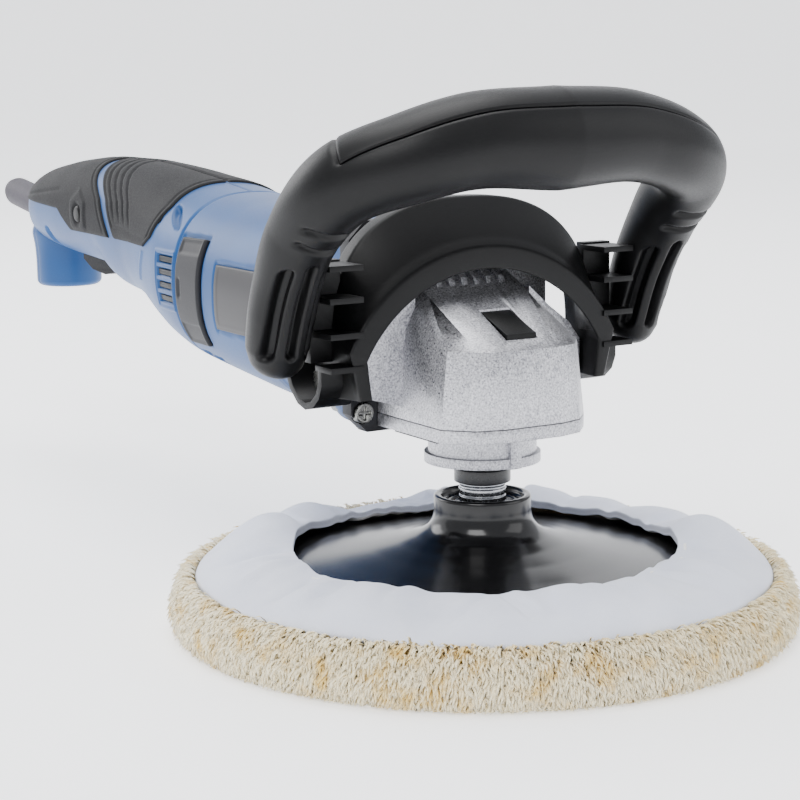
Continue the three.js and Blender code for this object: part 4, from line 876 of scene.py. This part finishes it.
def build_arch():
    """Saddle's arch: a section of seven corners with a bead on its lip, swept from one foot to the other.

    The front lip runs on a circle and the rear on a squared oval, and below the shoulders both narrow to
    the feet.
    """
    t = np.linspace(0, 1, 241)
    along = np.clip((t - LEG_SHARE) / (1 - 2 * LEG_SHARE), 0, 1)
    foot = np.clip(np.maximum(1 - t / LEG_SHARE, (t - 1) / LEG_SHARE + 1), 0, 1)
    c, s = np.cos(np.pi * along), np.sin(np.pi * along)
    start = math.asin((SHOULDER - LIP_Z) / LIP_OUT)
    turn = start + (math.pi - 2 * start) * along

    def lip(radius, foot_x):
        x, z = radius * np.cos(turn), LIP_Z + radius * np.sin(turn)
        x = x + (np.sign(c) * foot_x - x) * foot
        return np.stack([x, LIP_Y - PROUD + 0 * t, z + (FOOT_Z - z) * foot], -1)

    def rear(inset, y):
        x = (REAR_HALF - inset) * np.sign(c) * np.abs(c) ** 0.8
        z = SHOULDER + (REAR_TOP - inset - SHOULDER) * np.abs(s) ** 0.8
        return np.stack([x, y + 0 * t, z + (FOOT_Z - z) * foot], -1)

    edge, crest = lip(LIP_OUT + PROUD, FOOT_OUT + PROUD), rear(-PROUD, CREST_Y)
    bead = lip(LIP_OUT + 1.1, FOOT_OUT + 1)
    slope = edge + (crest - edge) * 0.22
    inner = ARCH_WALL + PROUD
    corners = np.stack([lip(LIP_IN - PROUD, FOOT_IN - PROUD), bead, slope, crest, rear(-PROUD, REAR_Y),
                        rear(inner, REAR_Y), rear(inner, CREST_Y + 0.6)], 1)
    before, after = np.roll(corners, 1, 1) - corners, np.roll(corners, -1, 1) - corners
    lengths = [np.linalg.norm(d, axis=-1, keepdims=True) for d in (before, after)]
    reach = np.minimum(1.0, 0.45 * np.minimum(*lengths))
    starts, ends = corners + before / lengths[0] * reach, corners + after / lengths[1] * reach
    u = np.linspace(0, 1, 5)[None, None, :, None]
    starts, corners, ends = (v[:, :, None] for v in (starts, corners, ends))
    ring = (1 - u) ** 2 * starts + 2 * u * (1 - u) * corners + u ** 2 * ends
    points = ring.reshape(len(t), -1, 3)
    caps = [np.broadcast_to(points[i].mean(0), (1,) + points.shape[1:]) for i in (0, -1)]
    points = np.concatenate([caps[0], points, caps[1]])
    add_piece("saddle_arch_moulding", points, quads(len(points), points.shape[1]), nylon_black, "housing")


def build_spindle():
    """Backing pad, spindle and sleeve as turned pieces."""
    turned("backing_pad_turned", [
        [10.5, 12.3], [88, 12.3], [88, 17.8], [62, 21], [48, 23.1], [36, 25.2], [27, 27.2], [21, 29.2],
        [18.2, 31.1], [16.6, 33.3], [15.9, 36], [15.9, 42], [13.5, 42], [13, 39.6], [10.5, 39.6],
        [10.5, 12.3]], (0, 0, 0), gloss_black, "spindle", ("backing_pad",), sides=160, soften=1.6)
    low, high = (v[2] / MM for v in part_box("spindle"))
    turned("spindle_turned", [
        [0, low], [7, low], [7, 38.5], [7.75, 40], [7.75, 41.6], [7.3, 41.9], [7.3, 42.7],
        [7.75, 43], [7.75, 44.2], [7.4, 44.5], [7.4, 45.1], [7.75, 45.4], [7.75, 46], [7, 46], [7, 77],
        [4, 78], [4, high], [0, high]], (0, 0, 0), turned_steel, "spindle", ("spindle",), soften=0.2)
    low, high = (v[2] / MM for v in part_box("spindle_sleeve"))
    turned("dust_sleeve_turned", [
        [7.4, low], [9.25, low], [9.25, 50.6], [8.9, 50.9], [8.9, 51.5], [9.25, 51.8], [9.25, high],
        [7.4, high], [7.4, low]], (0, 0, 0), sleeve_black, "spindle", ("spindle_sleeve",), soften=0.3)


def build_small():
    """Speed wheel, lock-on button and the boot at the tail."""
    low, high = (np.array(v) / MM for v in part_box("speed_wheel"))
    hub = (low + high) / 2
    half, radius = (high[0] - low[0]) / 2, (high[1] - low[1]) / 2
    turned("speed_wheel_knurled", [[0, -half], [radius - 0.8, -half], [radius, -half + 0.8],
                                   [radius, half - 0.8], [radius - 0.8, half], [0, half]],
           (0, hub[1], hub[2]), acetal_lime, "speed_dial", ("speed_wheel",), sides=160, axis=(1, 0, 0),
           soften=0.3,
           relief=lambda angle, height: -0.45 * (np.cos(angle * 32) > 0.1))
    low, high = (np.array(v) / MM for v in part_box("lock_on_button"))
    turned("lock_on_key", [[0, low[0]], [2.8, low[0] + 0.1], [3.6, low[0] + 0.9], [3.6, -17.6], [5.2, -17.6],
                           [5.2, -15], [3.6, -15], [3.6, high[0]], [0, high[0]]],
           (0, *LOCK_ON), nylon_black, "lock_on", ("lock_on_button",), sides=64, axis=(1, 0, 0), soften=0.4)
    rise = math.radians(7)
    turned("tail_boot_moulding", [[0, -9], [6.4, -9], [6.4, -6], [5.5, -6], [5.5, 1.5], [7.4, 3], [7.4, 7],
                                  [6.9, 8], [7, 20], [6.9, 47], [5.6, 51.5], [3.2, 53], [2.6, 52.2],
                                  [0, 51.8]],
           (0, TAIL, 113.5), pvc_boot, "housing", ("cord_boot",), sides=72,
           axis=(0, math.cos(rise), math.sin(rise)), soften=1.0)


# ------------------------------------------------------------------ wool bonnet

WOOL_R = 101.3
SEAM_R, SEAM_Z = 94.0, 18.0         # where the cloth is sewn to the wool
MOUTH_R, MOUTH_Z = 62.0, 25.4
CLOTH_COLS = 900
UV_R = 80                           # radius at which the cloth's pattern is true to size
VALLEYS, VALLEY_HALF = 34, 2.6
TURN_DOWN = (0.965, 1.0)            # shares of the way to the mouth over which the edge turns down


def wander(angle, counts, phases, strengths):
    """Sum of sines round the circle with whole wave counts, so that it closes on itself."""
    return sum(s * np.sin(n * angle + p) for n, p, s in zip(counts, phases, strengths))


def round_axis(radius, angle, height):
    """Points from cylindrical measures about the spindle."""
    return np.stack([radius * np.cos(angle), radius * np.sin(angle), height], -1)


def build_hem():
    """Cloth gathered from the seam to the mouth.

    Rows run inwards from the seam to the mouth and columns round it. The height is a low dome plus creases:
    narrow ones from the drawstring that fade outwards and broad puffs in the middle. The radius of the mouth
    scallops with the creases, and the edge turns down over the tape.
    """
    angle = np.linspace(0, 2 * np.pi, CLOTH_COLS, endpoint=False)
    share = np.concatenate([np.linspace(0, 0.94, 46), np.linspace(0.955, 1, 7)])
    s, a = np.meshgrid(share, angle, indexing="ij")
    phase = rng.uniform(0, 2 * np.pi, 12)
    puffs = wander(angle, (3, 5, 8, 11, 17), phase[:5], (0.7, 0.9, 1.0, 0.9, 0.8))
    pull = a + 0.035 * wander(a, (4, 7), phase[5:7], (1, 1)) + 0.10 * (s - 0.6) * np.sin(3 * a + phase[7])
    pleats = 0.55 * np.sin(9 * pull + phase[8])
    pleats = pleats + 0.45 * np.sin(14 * pull + phase[9]) * np.sin(2 * a + phase[6])
    fine = np.sin(31 * pull + phase[10]) * 0.22 + np.sin(47 * pull + phase[11]) * 0.12
    valleys = sum(np.exp(-((((a - v + 0.12 * (s - 1) * w) + np.pi) % (2 * np.pi) - np.pi)
                            * UV_R / VALLEY_HALF) ** 2)
                  for v, w in zip(rng.uniform(0, 2 * np.pi, VALLEYS), rng.normal(0, 1, VALLEYS)))
    radius = SEAM_R + (MOUTH_R - SEAM_R) * s
    dome = SEAM_Z + (MOUTH_Z - SEAM_Z) * np.sin(s * np.pi / 2) ** 0.8
    belly = np.sin(np.clip(s, 0, 1) * np.pi) ** 0.9
    grip = smooth(s, 0.15, 0.95)
    z = dome + belly * (2.0 + puffs[None, :] * 1.5) + grip * (pleats * 0.8 + fine) + 0.5 * fine * belly
    z = z - 1.5 * np.clip(valleys, 0, 1.2) * smooth(s, 0.1, 0.55) * (1 - 0.85 * smooth(s, 0.8, 1))
    z = z - 2.2 * smooth(s, *TURN_DOWN)
    radius = radius + grip * (0.35 * pleats + 0.9 * np.sin(5 * a + phase[2])) + 1.2 * smooth(s, *TURN_DOWN)
    z = np.where(s < 0.02, SEAM_Z - 0.6, z)
    points = round_axis(radius, a, z)
    uv = np.stack([a * UV_R, (SEAM_R - MOUTH_R) * s], -1).reshape(-1, 2)
    hem = add_piece("bonnet_cloth_hem", points, quads(len(share), CLOTH_COLS), cloth_white, "spindle",
                    ("bonnet_hem",), inside=points - np.array([0, 0, 5]), wall=0.5, uv=uv)

    edge = points[-8]
    build_tape(angle, edge[:, 0] * np.cos(angle) + edge[:, 1] * np.sin(angle) + 0.5, edge[:, 2] - 0.9, phase)


def build_tape(angle, edge_r, edge_z, phase):
    """Tape folded inside the mouth's edge, so that it shows only where the edge is seen from below.

    Its section is a line of [out, up] stops from the edge, stretched and waved a little round the mouth.
    """
    fold = np.array([[1.3, 0.35], [0.6, 0.5], [-0.1, 0.4], [-0.8, -0.1], [-1.0, -0.9], [-0.4, -1.8],
                     [1.2, -2.3], [3.2, -2.6], [5.2, -2.8]])
    tape_r = edge_r + fold[:, :1] * (1 + 0.12 * np.sin(7 * angle + phase[3]))
    tape_z = edge_z + fold[:, 1:] + 0.12 * np.sin(41 * angle + phase[4]) * (fold[:, :1] > 0)
    core = np.broadcast_to(round_axis(edge_r + 0.9, angle, edge_z - 1.2), (*tape_r.shape, 3))
    run = np.broadcast_to(np.arange(len(fold))[:, None] * 1.2, tape_r.shape)
    uv = np.stack([np.broadcast_to(angle * MOUTH_R, tape_r.shape), run], -1).reshape(-1, 2)
    tape = add_piece("bonnet_mouth_tape", round_axis(tape_r, angle, tape_z), quads(len(fold), CLOTH_COLS),
                     tape_white, "spindle", inside=core, wall=0.4, uv=uv)


LOCK_COUNT, LOCK_STATIONS, LOCK_SIDES = 10400, 5, 3
# places round the wool's edge, from its underside to the seam, and what a lock has there
EDGE_SHARE = [0, 0.12, 0.45, 0.8, 1]
ROOT_R, ROOT_Z = [90, 96.5, 98.2, 96, 93.6], [1.2, 2.0, 8, 14.5, 17.2]
ROOT_WAY = [-30, -12, 2, 28, 52]                # degrees above level


def build_wool_core():
    """Padded core of the wool: a turned profile whose rim swells with seeded lumps."""
    profile = np.array([[0, 0.3], [60, 0.3], [90, 0.5], [95, 1.2], [98, 3.2], [98.6, 7], [97.8, 11.5],
                        [95, 15.5], [SEAM_R - 0.6, SEAM_Z - 0.8], [88, SEAM_Z - 1.2], [80, 15], [0, 15]])
    line = rounded_line(profile, 2.0)
    angle = np.linspace(0, 2 * np.pi, 480, endpoint=False)
    phase = rng.uniform(0, 2 * np.pi, 8)
    lumps = wander(angle, (31, 47, 71, 113), phase[:4], (0.35, 0.4, 0.35, 0.3))
    radius = line[:, :1] + lumps * smooth(line[:, :1], 88, 96) * (line[:, 1:] < 17)
    points = round_axis(radius, angle, line[:, 1:] + 0 * radius)
    core = add_piece("wool_pile_core", points, quads(len(line), len(angle)), wool_cream, "spindle",
                     ("bonnet_wool",))


def lock_faces():
    """Four-sided walls between the stations of every lock of a batch."""
    base = (np.arange(LOCK_COUNT) * LOCK_STATIONS * LOCK_SIDES)[:, None, None, None]
    row = base + (np.arange(LOCK_STATIONS - 1) * LOCK_SIDES)[None, :, None, None]
    here = np.arange(LOCK_SIDES)[None, None, :, None]
    after = (here + 1) % LOCK_SIDES
    return np.concatenate([row + here, row + after, row + LOCK_SIDES + after, row + LOCK_SIDES + here],
                          -1).reshape(-1, 4)


def build_locks(name):
    """A batch of wool locks.

    Each lock is a three-sided sliver of five stations, pointed at both ends. Its root is under the core's
    surface, and its path leaves along the core's normal, sags, and curls with a seeded sine to either side.
    """
    t = rng.uniform(0, 1, LOCK_COUNT)
    root_r, root_z, root_way = (np.interp(t, EDGE_SHARE, stops)[:, None]
                                for stops in (ROOT_R, ROOT_Z, ROOT_WAY))
    around = rng.uniform(0, 2 * np.pi, LOCK_COUNT)
    length = rng.uniform(3.0, 6.4, LOCK_COUNT)[:, None]
    u = np.array([[-0.12, 0.18, 0.45, 0.74, 1.0]])
    each = (LOCK_COUNT, 1)
    curl = rng.uniform(-1, 1, each) * 2.3 * np.abs(u) ** 1.4
    curl = curl + np.sin(u * 6 + rng.uniform(0, 6, each)) * 0.55 * u
    way = np.radians(root_way) + rng.normal(0, 0.28, each) * u - 0.8 * u ** 2
    reach_r = np.minimum(root_r + length * u * np.cos(way), WOOL_R + 3.0)
    reach_z = np.maximum(root_z + length * u * np.sin(way), 0.7)
    theta = around[:, None] + curl / reach_r
    spine = round_axis(reach_r, theta, reach_z)
    thick = (np.array([0, 0.50, 0.56, 0.42, 0]) * rng.uniform(0.75, 1.35, each))[..., None]
    radial, tangent = round_axis(1, theta, 0 * theta), round_axis(1, theta + math.pi / 2, 0 * theta)
    upright = 0.7 * np.array([0, 0, 1.0]) + 0.5 * radial
    turns = [2 * math.pi * k / LOCK_SIDES for k in range(LOCK_SIDES)]
    corners = [spine + thick * (math.cos(turn) * tangent + math.sin(turn) * upright) for turn in turns]
    add_piece(name, np.stack(corners, 2).reshape(-1, 3), lock_faces(), wool_cream, "spindle")


# ------------------------------------------------------------------ paper sweep

SWEEP_R, SWEEP_START, WALL_TOP = 1.5, 3.0, 5.0      # metres
SWEEP_X = (-6.0, 8.0)


def build_floor():
    """Paper sweep: level under the tool, then curved up on a circle of SWEEP_R into a wall behind it."""
    bend = np.linspace(0, math.pi / 2, 25)
    y = np.concatenate([[-4], SWEEP_START + SWEEP_R * np.sin(bend), [SWEEP_START + SWEEP_R]])
    z = np.concatenate([[0], SWEEP_R * (1 - np.cos(bend)), [WALL_TOP]])
    rows = np.stack([np.stack([x + 0 * y, y, z], -1) for x in SWEEP_X], 1)
    mesh = bpy.data.meshes.new("floor")
    mesh.from_pydata(rows.reshape(-1, 3).tolist(), [], quads(len(y), 2, closed=False).tolist())
    shade_round(mesh)
    sweep = place_object("floor", mesh)
    dress(sweep, finish_of("matt_paper_sweep", ("#f6f7f9", "#fafbfd"), 3.0, 0.001, 0.9, Emission_Strength=0.9,
                           Emission_Color=(1.0, 1.0, 1.0, 1.0)))
    return sweep


build_housing()
build_shells()
build_foot()
build_inlays()
build_bail()
build_bail_cover()
build_head()
build_arch()
build_spindle()
build_small()
build_hem()
build_wool_core()
for batch in (1, 2, 3):
    build_locks(f"wool_locks_{batch}")
floor = build_floor()
